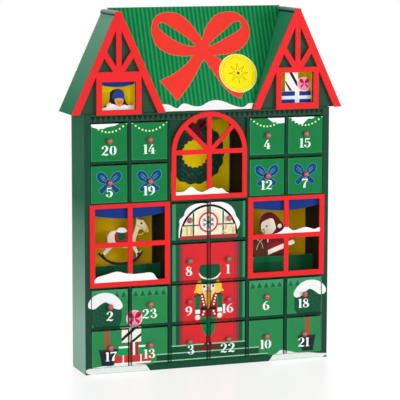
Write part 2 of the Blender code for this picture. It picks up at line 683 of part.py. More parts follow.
def build_gable(side, centre, opening_rises, colour_above):
    """Folded gable roof, its recessed front card and its timber frame."""
    steep = math.atan(GABLE_SLOPE)
    card_across = CARD / math.sin(steep)
    gap_across = GLUE_GAP / math.sin(steep)
    inner_top = GABLE_SHOULDER_RISE - CARD
    inner_foot = gable_half(GLUE_GAP) - card_across
    inner_peak = inner_foot - (inner_top - GLUE_GAP) / GABLE_SLOPE
    outer = [(gable_half(GLUE_GAP), GLUE_GAP), (GABLE_SHOULDER_HALF, GABLE_SHOULDER_RISE),
             (RIDGE_STRIP_HALF, GABLE_SHOULDER_RISE), (RIDGE_STRIP_HALF, GABLE_RISE)]
    inner = [(inner_peak, inner_top), (inner_foot, GLUE_GAP)]
    outer_path = mirrored(outer, centre)
    inner_path = [(2 * centre - across, up) for across, up in mirrored(inner[::-1], centre)]
    roof = front_card(f"{side}_gable_roof", outer_path + inner_path, 0.0, PLATE_DEPTH)
    place(roof, colour_above)

    low, high = opening_rises
    margin = GABLE_OPENING_HALF + OPENING_MARGIN
    face = [(inner_foot - gap_across, GLUE_GAP), (inner_peak - gap_across, inner_top - GLUE_GAP)]
    opening = rectangle(centre - margin, centre + margin, EAVE_Z + low - OPENING_MARGIN,
                        EAVE_Z + high + OPENING_MARGIN)
    front = front_card(f"{side}_gable_front", mirrored(face, centre), GABLE_INSET, CARD, [opening])
    place(front, DARK_GREEN)
    build_gable_frame(side, centre, opening_rises)


def build_gable_frame(side, centre, opening_rises):
    """Timber frame: rafters, tie beam, king post and struts round a window."""
    low, high = opening_rises
    post = KING_POST_WIDTH / 2

    def rafter_inside(rise):
        return gable_half(rise) - RAFTER_WIDTH

    half = [(GABLE_WINDOW_HALF, -GABLE_WINDOW_DROP), (GABLE_WINDOW_HALF, GABLE_WINDOW_RISE),
            (rafter_inside(0.0), 0.0), (GABLE_FOOT_HALF, 0.0),
            (GABLE_SHOULDER_HALF, GABLE_SHOULDER_RISE), (RIDGE_STRIP_HALF, GABLE_RISE)]
    outline = mirrored(half, centre)

    head_x = rafter_inside(STRUT_HEAD_RISE)
    strut_slope = (STRUT_HEAD_RISE - STRUT_FOOT_RISE) / (head_x - post)
    strut_drop = STRUT_WIDTH * math.hypot(1.0, strut_slope)
    post_top = (GABLE_FOOT_HALF - RAFTER_WIDTH - post) * GABLE_SLOPE
    upper = [(post, STRUT_FOOT_RISE), (head_x, STRUT_HEAD_RISE), (post, post_top)]

    strut_base = STRUT_FOOT_RISE - strut_drop - post * strut_slope
    rafter_base = (GABLE_FOOT_HALF - RAFTER_WIDTH) * GABLE_SLOPE
    peak_x = (rafter_base - strut_base) / (strut_slope + GABLE_SLOPE)
    lower = [((TIE_TOP_RISE - strut_base) / strut_slope, TIE_TOP_RISE),
             (rafter_inside(TIE_TOP_RISE), TIE_TOP_RISE), (peak_x, rafter_base - GABLE_SLOPE * peak_x)]
    holes = [rectangle(centre - GABLE_OPENING_HALF, centre + GABLE_OPENING_HALF,
                       EAVE_Z + low, EAVE_Z + high)]
    for triangle in (upper, lower):
        for mirror in (-1, 1):
            holes.append([(centre + mirror * across, EAVE_Z + up) for across, up in triangle])
    frame = front_card(f"{side}_gable_frame", outline, -GLUE_GAP - CARD, CARD, holes)
    place(frame, FRAME_RED)


def build_gable_room(side, centre, opening_rises, figure, blind=None):
    """Open-fronted card box behind a gable window, with its cut-out scene."""
    low, high = opening_rises
    near = GABLE_INSET + CARD + GLUE_GAP
    wall = OPENING_MARGIN + LINER_CARD
    size = (2 * (GABLE_OPENING_HALF + wall), GABLE_ROOM_DEPTH, high - low + 2 * wall)
    middle = (centre, FRONT_Y + near + GABLE_ROOM_DEPTH / 2, EAVE_Z + (low + high) / 2)
    mesh = open_box_mesh(f"{side}_gable_room", size, middle, (0, -1, 0))
    room = thicken_inwards(bpy.data.objects.new(f"{side}_gable_room", mesh), LINER_CARD)
    for shape in (figure, blind):
        if shape:
            unite(room, keep_as_cutter(shape))
    place(room, WALL_YELLOW)


def gable_doll(near):
    """Snow with a doll's head above it, on the floor of the left gable room."""
    low, high = LEFT_OPENING_RISES
    left = -GABLE_CENTRE - GABLE_OPENING_HALF
    foot = low - OPENING_MARGIN
    shares = [GABLE_DOLL_SHARES[0], *softened(GABLE_DOLL_SHARES[1:-1]), GABLE_DOLL_SHARES[-1]]
    outline = [(left + across * 2 * GABLE_OPENING_HALF, EAVE_Z + (low + up * (high - low) if up else foot))
               for across, up in shares]
    deepened = [(across, up - UNION_OVERLAP) if up < EAVE_Z + low else (across, up)
                for across, up in outline]
    return front_card("left_gable_doll", deepened, near, THIN_CARD)


def gable_gifts(near):
    """Three parcels in one cut-out, on the floor of the right gable room."""
    low, high = RIGHT_OPENING_RISES
    width, height = 2 * GABLE_OPENING_HALF, high - low
    left = GABLE_CENTRE - GABLE_OPENING_HALF
    base = EAVE_Z + low - OPENING_MARGIN - UNION_OVERLAP
    lid = EAVE_Z + low + GIFT_TOP_SHARE * height
    tall_left, tall_right = (left + share * width for share in TALL_GIFT_SHARES)
    ceiling = EAVE_Z + high
    round_x = left + ROUND_GIFT_SHARE * width
    round_z = lid + GABLE_GIFT_RADIUS * math.cos(math.pi / 6)
    outline = [(left + GIFT_LEFT_SHARE * width, base), (left + width, base), (left + width, lid)]
    outline += arc(GABLE_GIFT_RADIUS, -math.pi / 3, math.pi - math.pi / 4, GIFT_STEPS, (round_x, round_z))
    outline += [(tall_right, outline[-1][1]), (tall_right, ceiling), (tall_left, ceiling), (tall_left, lid),
                (left + GIFT_LEFT_SHARE * width, lid)]
    return front_card("right_gable_gifts", outline, near, THIN_CARD)


def build_gables():
    """Both gables with their rooms."""
    build_gable("left", -GABLE_CENTRE, LEFT_OPENING_RISES, SIDE_GREEN)
    build_gable("right", GABLE_CENTRE, RIGHT_OPENING_RISES, SIDE_GREEN)
    near = GABLE_INSET + CARD + GLUE_GAP + GABLE_FIGURE_SETBACK
    wall = OPENING_MARGIN + LINER_CARD / 2
    ceiling = EAVE_Z + LEFT_OPENING_RISES[1] + wall
    blind = valance("left_gable_blind", -GABLE_CENTRE - GABLE_OPENING_HALF - wall,
                    -GABLE_CENTRE + GABLE_OPENING_HALF + wall, ceiling,
                    (GABLE_VALANCE_DROP + wall, GABLE_VALANCE_END_DROP + wall), near)
    build_gable_room("left", -GABLE_CENTRE, LEFT_OPENING_RISES, gable_doll(near), blind)
    build_gable_room("right", GABLE_CENTRE, RIGHT_OPENING_RISES, gable_gifts(near))


def build_roof():
    """Sloping roof card between the gables, narrowing down to the eave."""
    pitch = math.atan2(ROOF_RISE, PLATE_DEPTH - CARD)
    foot = (CARD * math.cos(pitch) + GLUE_GAP) / math.sin(pitch)
    top = ROOF_RISE / math.sin(pitch) - GLUE_GAP
    beside_gable = 2 * GLUE_GAP + CARD * math.cos(pitch) / GABLE_SLOPE

    def valley(along):
        rise = min(along * math.sin(pitch), GABLE_RISE)
        return GABLE_CENTRE - gable_half(rise) - beside_gable

    knees = [foot, GABLE_SHOULDER_RISE / math.sin(pitch), GABLE_RISE / math.sin(pitch), top]
    right = [(valley(along), along) for along in knees]
    outline = right + [(-across, along) for across, along in reversed(right)]
    middle = (0.0, FRONT_Y + math.sin(pitch) * CARD / 2, EAVE_Z - math.cos(pitch) * CARD / 2)
    place(cut_card("roof_panel", outline, CARD, (pitch, 0.0, 0.0), middle), FIR_GREEN)


clear_scene()
calendar_pieces = new_collection("advent_calendar")
cutters = new_collection("joining_shapes")
build_carton()
build_dividers()
build_drawers()
build_square_window("left_window_frame", column_line(1), SILL_SNOW_SHARES, ((-1.0, 0.0), (1.0, 0.0)))
build_square_window("right_window_frame", column_line(5), ((-1.0, 0.0), (1.0, 0.0)), BAR_SNOW_SHARES)
build_arched_window()
build_rooms()
build_gables()
build_roof()
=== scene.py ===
"""Looks of a house-shaped card advent calendar with twenty-four sliding drawers.

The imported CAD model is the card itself.  This script gives each card its board
material, lays the printed paper over it, and adds the turned knobs, the wrapped
chocolates in the drawers, the ridge folds, the rein, the foot snow and the seal.
"""
import math

import bmesh
import bpy
import numpy as np
from mathutils import Matrix, Vector
from mathutils.geometry import delaunay_2d_cdt


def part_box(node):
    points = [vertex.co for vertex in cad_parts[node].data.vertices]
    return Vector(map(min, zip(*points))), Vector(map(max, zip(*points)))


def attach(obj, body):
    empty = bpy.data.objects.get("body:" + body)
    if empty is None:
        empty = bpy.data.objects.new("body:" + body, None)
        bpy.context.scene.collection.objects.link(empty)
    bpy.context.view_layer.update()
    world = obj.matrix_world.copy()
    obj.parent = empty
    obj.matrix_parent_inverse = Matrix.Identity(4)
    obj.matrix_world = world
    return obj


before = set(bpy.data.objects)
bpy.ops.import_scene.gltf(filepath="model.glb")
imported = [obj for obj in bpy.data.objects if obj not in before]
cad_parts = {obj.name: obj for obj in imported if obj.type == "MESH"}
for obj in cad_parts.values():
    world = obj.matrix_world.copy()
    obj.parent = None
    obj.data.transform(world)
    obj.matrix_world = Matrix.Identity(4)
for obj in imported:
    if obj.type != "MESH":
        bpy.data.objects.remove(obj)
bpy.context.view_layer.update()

# View
# The house is seen from a little above and to its left, with a long lens, so
# that its left side wall shows as a narrow strip.
yaw, pitch, roll = -0.347126, 0.141817, 0.00177
aim = Vector((-0.012935, -0.027, 0.230552))
camera_distance = 2.792925  # m
back = Vector((math.sin(yaw) * math.cos(pitch), -math.cos(yaw) * math.cos(pitch), math.sin(pitch)))
level_right = Vector((math.cos(yaw), math.sin(yaw), 0.0))
level_up = back.cross(level_right)
right = math.cos(roll) * level_right + math.sin(roll) * level_up
up = math.cos(roll) * level_up - math.sin(roll) * level_right
lens = bpy.data.cameras.new("long_lens")
lens.sensor_width = 36.0
lens.lens = 185.5
camera = bpy.data.objects.new("camera", lens)
turned_view = Matrix((right, up, back)).transposed().to_4x4()
camera.matrix_world = Matrix.Translation(aim + camera_distance * back) @ turned_view
bpy.context.scene.collection.objects.link(camera)
bpy.context.scene.camera = camera
bpy.context.scene.view_settings.view_transform = "Standard"

# Floor and light
# A white studio table under one large soft box at the front right, a weaker
# one at the left and an even white room; the table keeps the house's shadow.


def plug(node, inputs):
    """Give each named socket of a node its value, or link it to the socket that feeds it."""
    for socket, value in inputs:
        if isinstance(value, bpy.types.NodeSocket):
            node.id_data.links.new(value, node.inputs[socket])
        else:
            node.inputs[socket].default_value = value


def add_node(material, kind, inputs=(), **settings):
    """Add one shader node with its settings, its values and its links."""
    made = material.node_tree.nodes.new(kind)
    for setting, value in settings.items():
        setattr(made, setting, value)
    plug(made, inputs)
    return made


def new_surface(name):
    """Start a material and return it with its Principled shader."""
    material = bpy.data.materials.new(name)
    material.use_nodes = True
    return material, material.node_tree.nodes["Principled BSDF"]


room = bpy.data.worlds.new("white_room")
bpy.context.scene.world = room
room.use_nodes = True
ray = add_node(room, "ShaderNodeLightPath")
seen = add_node(room, "ShaderNodeMath",
    [(0, ray.outputs["Is Camera Ray"]), (1, ray.outputs["Is Glossy Ray"])], operation="MAXIMUM")
seen = add_node(room, "ShaderNodeMath", [(0, seen.outputs[0]), (1, ray.outputs["Is Transmission Ray"])],
    operation="MAXIMUM")
strength = add_node(room, "ShaderNodeMapRange",
    [("Value", seen.outputs[0]), ("To Min", 0.33), ("To Max", 1.0)])
white = (1.0, 1.0, 1.0, 1.0)
plug(room.node_tree.nodes["Background"], [("Color", white), ("Strength", strength.outputs["Result"])])

table_mesh = bpy.data.meshes.new("studio_table")
table_mesh.from_pydata([(-4, -4, 0), (4, -4, 0), (4, 4, 0), (-4, 4, 0)], [], [(0, 1, 2, 3)])
table = bpy.data.objects.new("studio_table", table_mesh)
bpy.context.scene.collection.objects.link(table)
table_top, table_shader = new_surface("white_studio_table")
plug(table_shader, [("Base Color", (0.8, 0.8, 0.8, 1.0)), ("Roughness", 0.6)])
glow = add_node(table_top, "ShaderNodeEmission", [("Color", white), ("Strength", 1.16)])
ray = add_node(table_top, "ShaderNodeLightPath")
seen = add_node(table_top, "ShaderNodeMath",
    [(0, ray.outputs["Is Camera Ray"]), (1, ray.outputs["Is Glossy Ray"])], operation="MAXIMUM")
part = add_node(table_top, "ShaderNodeMath", [(0, seen.outputs[0]), (1, 0.7)], operation="MULTIPLY")
mirror = add_node(table_top, "ShaderNodeBsdfGlossy", [("Color", white), ("Roughness", 0.3)])
lit = add_node(table_top, "ShaderNodeMixShader",
    [(0, 0.4), (1, table_shader.outputs[0]), (2, mirror.outputs[0])])
mixed = add_node(table_top, "ShaderNodeMixShader",
    [(0, part.outputs[0]), (1, lit.outputs[0]), (2, glow.outputs[0])])
plug(table_top.node_tree.nodes["Material Output"], [("Surface", mixed.outputs[0])])
table_mesh.materials.append(table_top)

for name, place, size, watts in (("key_softbox", (1.7, -2.6, 0.75), 1.2, 38.0),
        ("left_softbox", (-1.1, -2.75, 0.8), 1.4, 23.5)):
    softbox = bpy.data.lights.new(name, "AREA")
    softbox.shape = "SQUARE"
    softbox.size = size
    softbox.energy = watts
    lamp = bpy.data.objects.new(name, softbox)
    towards = Vector((0.0, 0.0, 0.25)) - Vector(place)
    lamp.matrix_world = Matrix.Translation(place) @ towards.to_track_quat("-Z", "Y").to_matrix().to_4x4()
    bpy.context.scene.collection.objects.link(lamp)

# Carton
# The back card, the side walls and the base and head are solid bleached board,
# printed green on the outside and folded; the back card is left plain grey.


def linear(hex_colour):
    """Turn an sRGB hex colour to linear: c/12.92 up to 0.04045, above it ((c + 0.055)/1.055)^2.4."""
    c = np.array([int(hex_colour[i:i + 2], 16) for i in (1, 3, 5)]) / 255
    return (*np.where(c <= 0.04045, c / 12.92, ((c + 0.055) / 1.055) ** 2.4).tolist(), 1.0)


def board(name, colour, roughness=0.5, shine=0.05, grade=None, mottle=0.025):
    """Coated cartonboard, to the eye a satin print of faintly uneven tone.  The tone is the product of
    5 mm clouds from the press and 0.4 mm fibres, each 1 less to 1 plus mottle; grade gives a second
    colour and, along an axis, the two places (m) between which the first turns to it; shine is the
    varnish's specular level."""
    material, shader = new_surface(name)
    place = add_node(material, "ShaderNodeTexCoord").outputs["Object"]
    clouds = add_node(material, "ShaderNodeTexNoise", [("Vector", place), ("Scale", 210.0), ("Detail", 3.0)])
    fibres = add_node(material, "ShaderNodeTexNoise", [("Vector", place), ("Scale", 2500.0), ("Detail", 2.0)])
    tones = [
        add_node(material, "ShaderNodeMapRange", [
            ("Value", noise.outputs["Fac"]), ("From Min", 0.3), ("From Max", 0.7), ("To Min", 1 - mottle),
            ("To Max", 1 + mottle)]).outputs[0]
        for noise in (clouds, fibres)]
    tone = add_node(material, "ShaderNodeMath", list(enumerate(tones)), operation="MULTIPLY")
    if colour is None:
        ink = add_node(material, "ShaderNodeAttribute", attribute_name="ink").outputs["Color"]
    else:
        second, low, high, axis = grade or (colour, 0.0, 1.0, "Z")
        axes = add_node(material, "ShaderNodeSeparateXYZ", [("Vector", place)])
        share = add_node(material, "ShaderNodeMapRange",
            [("Value", axes.outputs[axis]), ("From Min", low), ("From Max", high)])
        blend = [("Factor", share.outputs[0]), ("A", linear(colour)), ("B", linear(second))]
        ink = add_node(material, "ShaderNodeMix", blend, data_type="RGBA").outputs[2]
    toned = add_node(material, "ShaderNodeVectorMath", [(0, ink), ("Scale", tone.outputs[0])],
        operation="SCALE")
    gloss = add_node(material, "ShaderNodeMapRange", [("Value", clouds.outputs["Fac"]), ("From Min", 0.3),
        ("From Max", 0.7), ("To Min", roughness - 0.05), ("To Max", roughness + 0.05)])
    relief = add_node(material, "ShaderNodeBump",
        [("Strength", 0.25), ("Distance", 0.00004), ("Height", fibres.outputs["Fac"])])
    plug(shader, [("Base Color", toned.outputs[0]), ("Roughness", gloss.outputs[0]),
        ("Normal", relief.outputs[0]), ("Specular IOR Level", shine)])
    return material


def dress(material, *nodes):
    """Give CAD nodes their material."""
    for node in nodes:
        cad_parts[node].material_slots[0].material = material


grey_back = board("uncoated_grey_board", "#b9b4aa", 0.8, 0.1, mottle=0.07)
dress(grey_back, "back_panel")
# Painted reflection: the side walls' green turns pale towards the bottom, as the white table mirrored in
# their varnish.
side_board_painted_reflection = board("varnished_green_side_board", "#b4dfcd", 0.5, 0.0, ("#46876a", 0.07, 0.24, "Z"))
dress(side_board_painted_reflection, "left_side_wall", "right_side_wall")
dark_board = board("printed_dark_green_board", "#21503a")
dress(dark_board, "base_rail", "head_rail")

# Dividers
# Six shelves and seven uprights of 3.4 mm board covered in dark green paper,
# slotted halfway into each other like an egg crate.
shelves = ["shelf_row_1_left", "shelf_row_1_right", "shelf_row_2", "shelf_row_3_middle", "shelf_row_4",
    "shelf_row_5"]
uprights = ["upright_1_low", "upright_1_high", "upright_2", "upright_3_middle", "upright_4", "upright_5_low",
            "upright_5_high"]
dress(dark_board, *shelves, *uprights)

# Drawers
# Each drawer is a folded tray of white-lined board with a thicker front card
# glued on, leaf green all over the house and dark green where the door is.
tray_green = board("green_drawer_board", "#cfc9bb", 0.6, 0.05, ("#1c7a45", -0.0240, -0.0251, "Y"))
tray_dark = board("dark_green_drawer_board", "#cfc9bb", 0.6, 0.05, ("#1c4733", -0.0240, -0.0251, "Y"))
# The numbers from the top row down, 0 where a window is; sizes and the first cell's middle in mm.
cell_wide, cell_high, first_x, first_z = 56.5, 56.0, -141.25, 313.6
layout = ((20, 14, 0, 0, 4, 15), (5, 19, 0, 0, 12, 7), (0, 0, 11, 24, 0, 0),
          (0, 0, 8, 1, 0, 0), (2, 23, 9, 16, 6, 18), (17, 13, 3, 22, 10, 21))
drawers = {}
for row, numbers in enumerate(layout):
    for column, number in enumerate(numbers):
        if number:
            node = f"drawer_{number:02d}"
            in_door = column in (2, 3)
            slot = "door_drawer_card" if in_door else "drawer_card"
            x, z = first_x + cell_wide * column, first_z - cell_high * row
            drawers[number] = (node, x, z, row, in_door, slot)
            dress(tray_dark if in_door else tray_green, node)

# Printed house front
# One drawing runs over the drawer fronts and, where a figure crosses them, over
# the edges of the dividers, darkened there as painted shade: offset print on paper that is glued to the card.


def curved(a, b, c, d, steps):
    """Curve from b to c, with a and d as the points before and after them:
    p = b + ((c - a)t + (2a - 5b + 4c - d)t^2 + (3b - a - 3c + d)t^3)/2."""
    t = np.linspace(0, 1, steps, endpoint=False)[None, :, None]
    bend = (c - a) * t + (2 * a - 5 * b + 4 * c - d) * t ** 2 + (3 * b - a - 3 * c + d) * t ** 3
    return (b + bend / 2).reshape(-1, 2)


def smooth(points, steps=4):
    """Closed curve through the points, curved from each to the next."""
    p = np.asarray(points, float)
    return curved(*(np.roll(p, k, axis=0)[:, None] for k in (1, 0, -1, -2)), steps)


def through(points, steps=4):
    """Open curve through the points, with both ends counted twice."""
    p = np.asarray(points, float)
    p = np.concatenate([p[:1], p, p[-1:]])
    return np.concatenate([curved(*(p[k:len(p) - 3 + k, None] for k in range(4)), steps), p[-1:]])


def bank(points, corners):
    """Open curve through the points, closed over straight corners."""
    return np.concatenate([through(points), corners])


def nib(points, widths, steps=4):
    """Pen stroke: every point of the line moved half the width there along its normal, to both sides."""
    line = through(points, steps) if steps > 1 else np.asarray(points, float)
    along = np.linspace(0, 1, len(line))
    width = np.interp(along, np.linspace(0, 1, np.size(widths)), np.atleast_1d(widths))[:, None]
    run = np.gradient(line, axis=0)
    normal = run[:, ::-1] * (-1, 1) / np.linalg.norm(run, axis=1, keepdims=True)
    return np.concatenate([line + normal * width / 2, (line - normal * width / 2)[::-1]])


def disc(x, z, radius, tall=1.0, steps=28):
    """Round spot: centre plus radius times (cos a, tall sin a)."""
    a = np.linspace(0, 2 * np.pi, steps, endpoint=False)
    return np.stack([x + radius * np.cos(a), z + radius * tall * np.sin(a)], axis=1)


def block(left, right, low, high):
    """Rectangle from its sides."""
    return np.array([(left, low), (right, low), (right, high), (left, high)], float)


def deeper(ink, share):
    """Hex colour with the given share of each channel."""
    return "#" + "".join(f"{round(share * int(ink[i:i + 2], 16)):02x}" for i in (1, 3, 5))


def grown(shape, by):
    """Closed shape widened: every point moved outwards, square to the line between its neighbours."""
    chord = np.roll(shape, -1, axis=0) - np.roll(shape, 1, axis=0)
    turn = np.sign(shape[:, 0] @ np.roll(shape[:, 1], -1) - shape[:, 1] @ np.roll(shape[:, 0], -1))
    return shape + by * turn * chord[:, ::-1] * (1, -1) / np.linalg.norm(chord, axis=1, keepdims=True)


def moved(shape, x, z, scale=1.0, flip=1):
    """Shape scaled, mirrored left to right if flip is -1, and moved."""
    return np.asarray(shape, float) * (scale * flip, scale) + (x, z)


def rotation(angle):
    """Matrix that turns rows of points by an angle: (cos, sin) over (-sin, cos)."""
    return np.array([(math.cos(angle), math.sin(angle)), (-math.sin(angle), math.cos(angle))])


def card_faces(nodes, plane, height, reach=0.0002):
    """Triangles of CAD nodes that look out of a plane and lie within reach of a height over it: the height
    and the reach in m, the corners in mm along the plane's own two axes."""
    origin, across, rise = plane
    facing = np.cross(across, rise)
    loops = []
    for node in nodes:
        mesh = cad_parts[node].data
        points = np.empty(len(mesh.vertices) * 3)
        mesh.vertices.foreach_get("co", points)
        corners = np.empty(len(mesh.loops), int)
        mesh.loops.foreach_get("vertex_index", corners)
        triangles = points.reshape(-1, 3)[corners].reshape(-1, 3, 3) - origin
        normals = np.cross(triangles[:, 1] - triangles[:, 0], triangles[:, 2] - triangles[:, 0])
        normals /= np.maximum(np.linalg.norm(normals, axis=1, keepdims=True), 1e-12)
        off = np.abs(triangles.mean(axis=1) @ facing - height)
        chosen = triangles[(normals @ facing > 0.999) & (off < reach)]
        loops.extend(1000 * chosen @ np.stack([across, rise], axis=1))
    return loops


def lay_print(name, plane, height, card, inks, ground=None, body="calendar_body", thickness=0.00006,
        lift=0.00008):
    """Printed paper on flat card, given as CAD nodes or as outlines in the plane.  A constrained Delaunay
    triangulation of the card's outlines and all the drawn ones gives cells; each takes the ink drawn last
    over it, and bare ones go unless ground is given.  An ink is a hex colour, kept in the corner attribute
    "ink", or a material of its own.  Heights, thickness and lift are in m."""
    origin, across, rise = plane
    loops = card_faces(card, plane, height) if isinstance(card[0], str) else card
    bounds = np.concatenate(loops)
    lowest, highest = bounds.min(axis=0), bounds.max(axis=0)
    drawn = [(ink, shape) for ink, shape in inks
             if (shape.max(axis=0) > lowest).all() and (shape.min(axis=0) < highest).all()]
    outlines = list(loops) + [shape for _, shape in drawn]
    anticlockwise = []
    for outline in outlines:
        x, z = outline.T
        area = np.dot(x, np.roll(z, -1)) - np.dot(z, np.roll(x, -1))
        anticlockwise.append(outline if area > 0 else outline[::-1])
    starts = np.cumsum([0] + [len(outline) for outline in anticlockwise])
    faces = [list(range(start, stop)) for start, stop in zip(starts, starts[1:])]
    corners = [Vector(corner) for corner in np.concatenate(anticlockwise).tolist()]
    points, _, cells, _, _, sources = delaunay_2d_cdt(corners, [], faces, 1, 0.002)
    used, colours, slots = [], [], []
    materials = [printed_paper]
    for cell, over in zip(cells, sources):
        top = max(over) - len(loops) if over else -1
        if not over or min(over) >= len(loops) or (top < 0 and ground is None):
            continue
        ink = drawn[top][0] if top >= 0 else ground
        own = not isinstance(ink, str)
        if own and ink not in materials:
            materials.append(ink)
        used.append(cell)
        slots.append(materials.index(ink) if own else 0)
        colours.append(white if own else linear(ink))
    corners, cells = np.unique(np.array(used), return_inverse=True)
    flat = np.array([tuple(p) for p in points])[corners] / 1000
    facing = np.cross(across, rise)
    solid = origin + np.outer(flat[:, 0], across) + np.outer(flat[:, 1], rise) + (height + lift) * facing
    mesh = bpy.data.meshes.new(name)
    mesh.from_pydata(solid.tolist(), [], cells.reshape(-1, 3).tolist())
    mesh.attributes.new("ink", "FLOAT_COLOR", "CORNER").data.foreach_set(
        "color", np.repeat(np.array(colours), 3, axis=0).ravel())
    for material in materials:
        mesh.materials.append(material)
    mesh.polygons.foreach_set("material_index", slots)
    sheet = bpy.data.objects.new(name, mesh)
    bpy.context.scene.collection.objects.link(sheet)
    paper = sheet.modifiers.new("paper", "SOLIDIFY")
    paper.thickness = thickness
    paper.offset = -1.0
    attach(sheet, body)


printed_paper = board("offset_printed_varnished_paper", None)
front = (np.array((0.0, -0.027, 0.0)), np.array((1.0, 0.0, 0.0)), np.array((0.0, 0.0, 1.0)))
snow, dark, dark_rail, pale_line, eye_black = "#f7f5f8", "#1a4c35", "#264a38", "#93cfa9", "#17120f"

# Half of a ribbon bow about its knot, in mm: the loop, its folded inside and the tail.
bow_loop = smooth([(0.8, 1.0), (3.5, 9.5), (8.5, 15.4), (14.0, 16.6), (17.8, 13.4), (17.6, 7.4),
    (13.6, 2.6), (6.5, 0.2)])
bow_fold = smooth([(5.6, 5.2), (9.6, 8.6), (13.6, 10.8), (15.2, 8.4), (12.4, 5.2), (8.0, 3.4)])
bow_tail = np.array([(0.5, 0.6), (7.2, -2.6), (15.6, -9.6), (13.6, -12.6), (10.4, -14.2), (3.2, -7.0)])


def ribbon_bow(x, z, scale, ribbon, fold):
    """Plain bow with both halves."""
    return [(ink, moved(shape, x, z, scale, flip)) for flip in (1, -1)
            for ink, shape in ((ribbon, bow_tail), (ribbon, bow_loop), (fold, bow_fold))]


def blue_bow(x, z):
    """Blue bow with pale rims and two pale folds in each loop."""
    drawn = [(ink, moved(grown(shape, rim), x, z, 0.93, flip))
        for ink, rim in (("#5a93b8", 0.7), ("#0f4677", 0.0))
        for flip in (1, -1) for shape in (bow_tail, bow_loop)]
    for flip in (1, -1):
        drawn += [("#6aa3c8", moved(nib(fold, (0.4, 1.1, 0.4)), x, z, 0.93, flip))
            for fold in ([(3.4, 2.6), (8.6, 5.6), (13.4, 10.0)], [(4.2, 5.8), (8.4, 9.4), (12.4, 12.4)])]
    return drawn + [("#5a93b8", disc(x, z + 0.8, 5.1)), ("#0c3b66", disc(x, z + 0.8, 4.3))]


# Pictures that cross from drawer to drawer: steps, soldier, trees, parcels and snow.
pictures = []
for start, end, top in ((-75, 74, 21.7), (-81, 88, 12.0), (-55, 55, 31.7)):
    pictures += [(dark, block(start, end, -1, top)), (pale_line, block(start, end, top - 1.5, top))]
for top in (21.7, 12.0):
    pictures += [(pale_line, block(-55, 55, top - 1.5, top))]

# A traditional toy soldier with a tall hat.
maroon, gold, skin, coat_red, cloth_green = "#7a1f24", "#f4c548", "#f7e3d2", "#a3242e", "#107c45"
for side in (1, -1):
    pictures += [(maroon, moved([(0.4, 42.5), (2.4, 42.5), (2.6, 34.0), (0.4, 34.0)], -0.9, 0, 1, side)),
        (maroon, moved([(0.3, 34.6), (5.0, 33.0), (6.5, 29.5), (17.2, 24.2), (17.2, 22.0), (0.3, 22.6)],
            -0.9, 0, 1, side))]
pictures += [
    (snow, disc(-0.9, 31.0, 1.0)),
    (cloth_green, smooth([(-11.4, 68.5), (-0.3, 68.9), (10.9, 68.3), (10.4, 60.0), (8.3, 49.8), (4.6, 43.8),
        (-0.6, 41.8), (-5.4, 44.4), (-8.3, 50.8), (-10.8, 60.0)])),
    (coat_red, np.array([(-11.6, 101), (11.8, 101), (12.8, 90), (11.6, 80.5), (13.2, 67.6), (-13.6, 68.6),
        (-11.8, 80.5), (-12.8, 90)])),
    ("#2a1410", block(-12.0, 11.8, 78.6, 82.2))]
for x, z, side in ((-16.0, 68.7, -1), (16.2, 69.9, 1)):
    pictures += [
        ("#2c1712", smooth([(x - 3.6 * side, 100.8), (x + 3.8 * side, 99.4), (x + 3.6 * side, 96.4),
            (x - 3.8 * side, 97)])),
        ("#136c40", smooth([(x - 3.0 * side, 98.4), (x + 3.2 * side, 97.6), (x + 4.0 * side, 88),
            (x + 3.4 * side, 79.2), (x - 3.2 * side, 79.2), (x - 3.8 * side, 88)])),
        ("#f3f1ea", block(x - 3.4, x + 3.4, z + 4.2, z + 10.6)),
        ("#1b1b18", block(x - 4.3, x + 4.3, z + 3.8, z + 4.9)), ("#f6cfc0", disc(x, z, 3.9)),
        ("#fbe4da", disc(x - 0.3, z + 0.3, 2.3))]
for side in (1, -1):
    pictures += [(snow, disc(side * (10.1 - 1.0 * step) + 0.3, 97.6 - 3.9 * step, 1.3, 1, 12))
        for step in range(4)]
    pictures += [(snow, disc(side * (6.9 + 1.5 * step) + 0.3, 76.2 - 3.9 * step, 1.4, 1, 12))
        for step in range(2)]
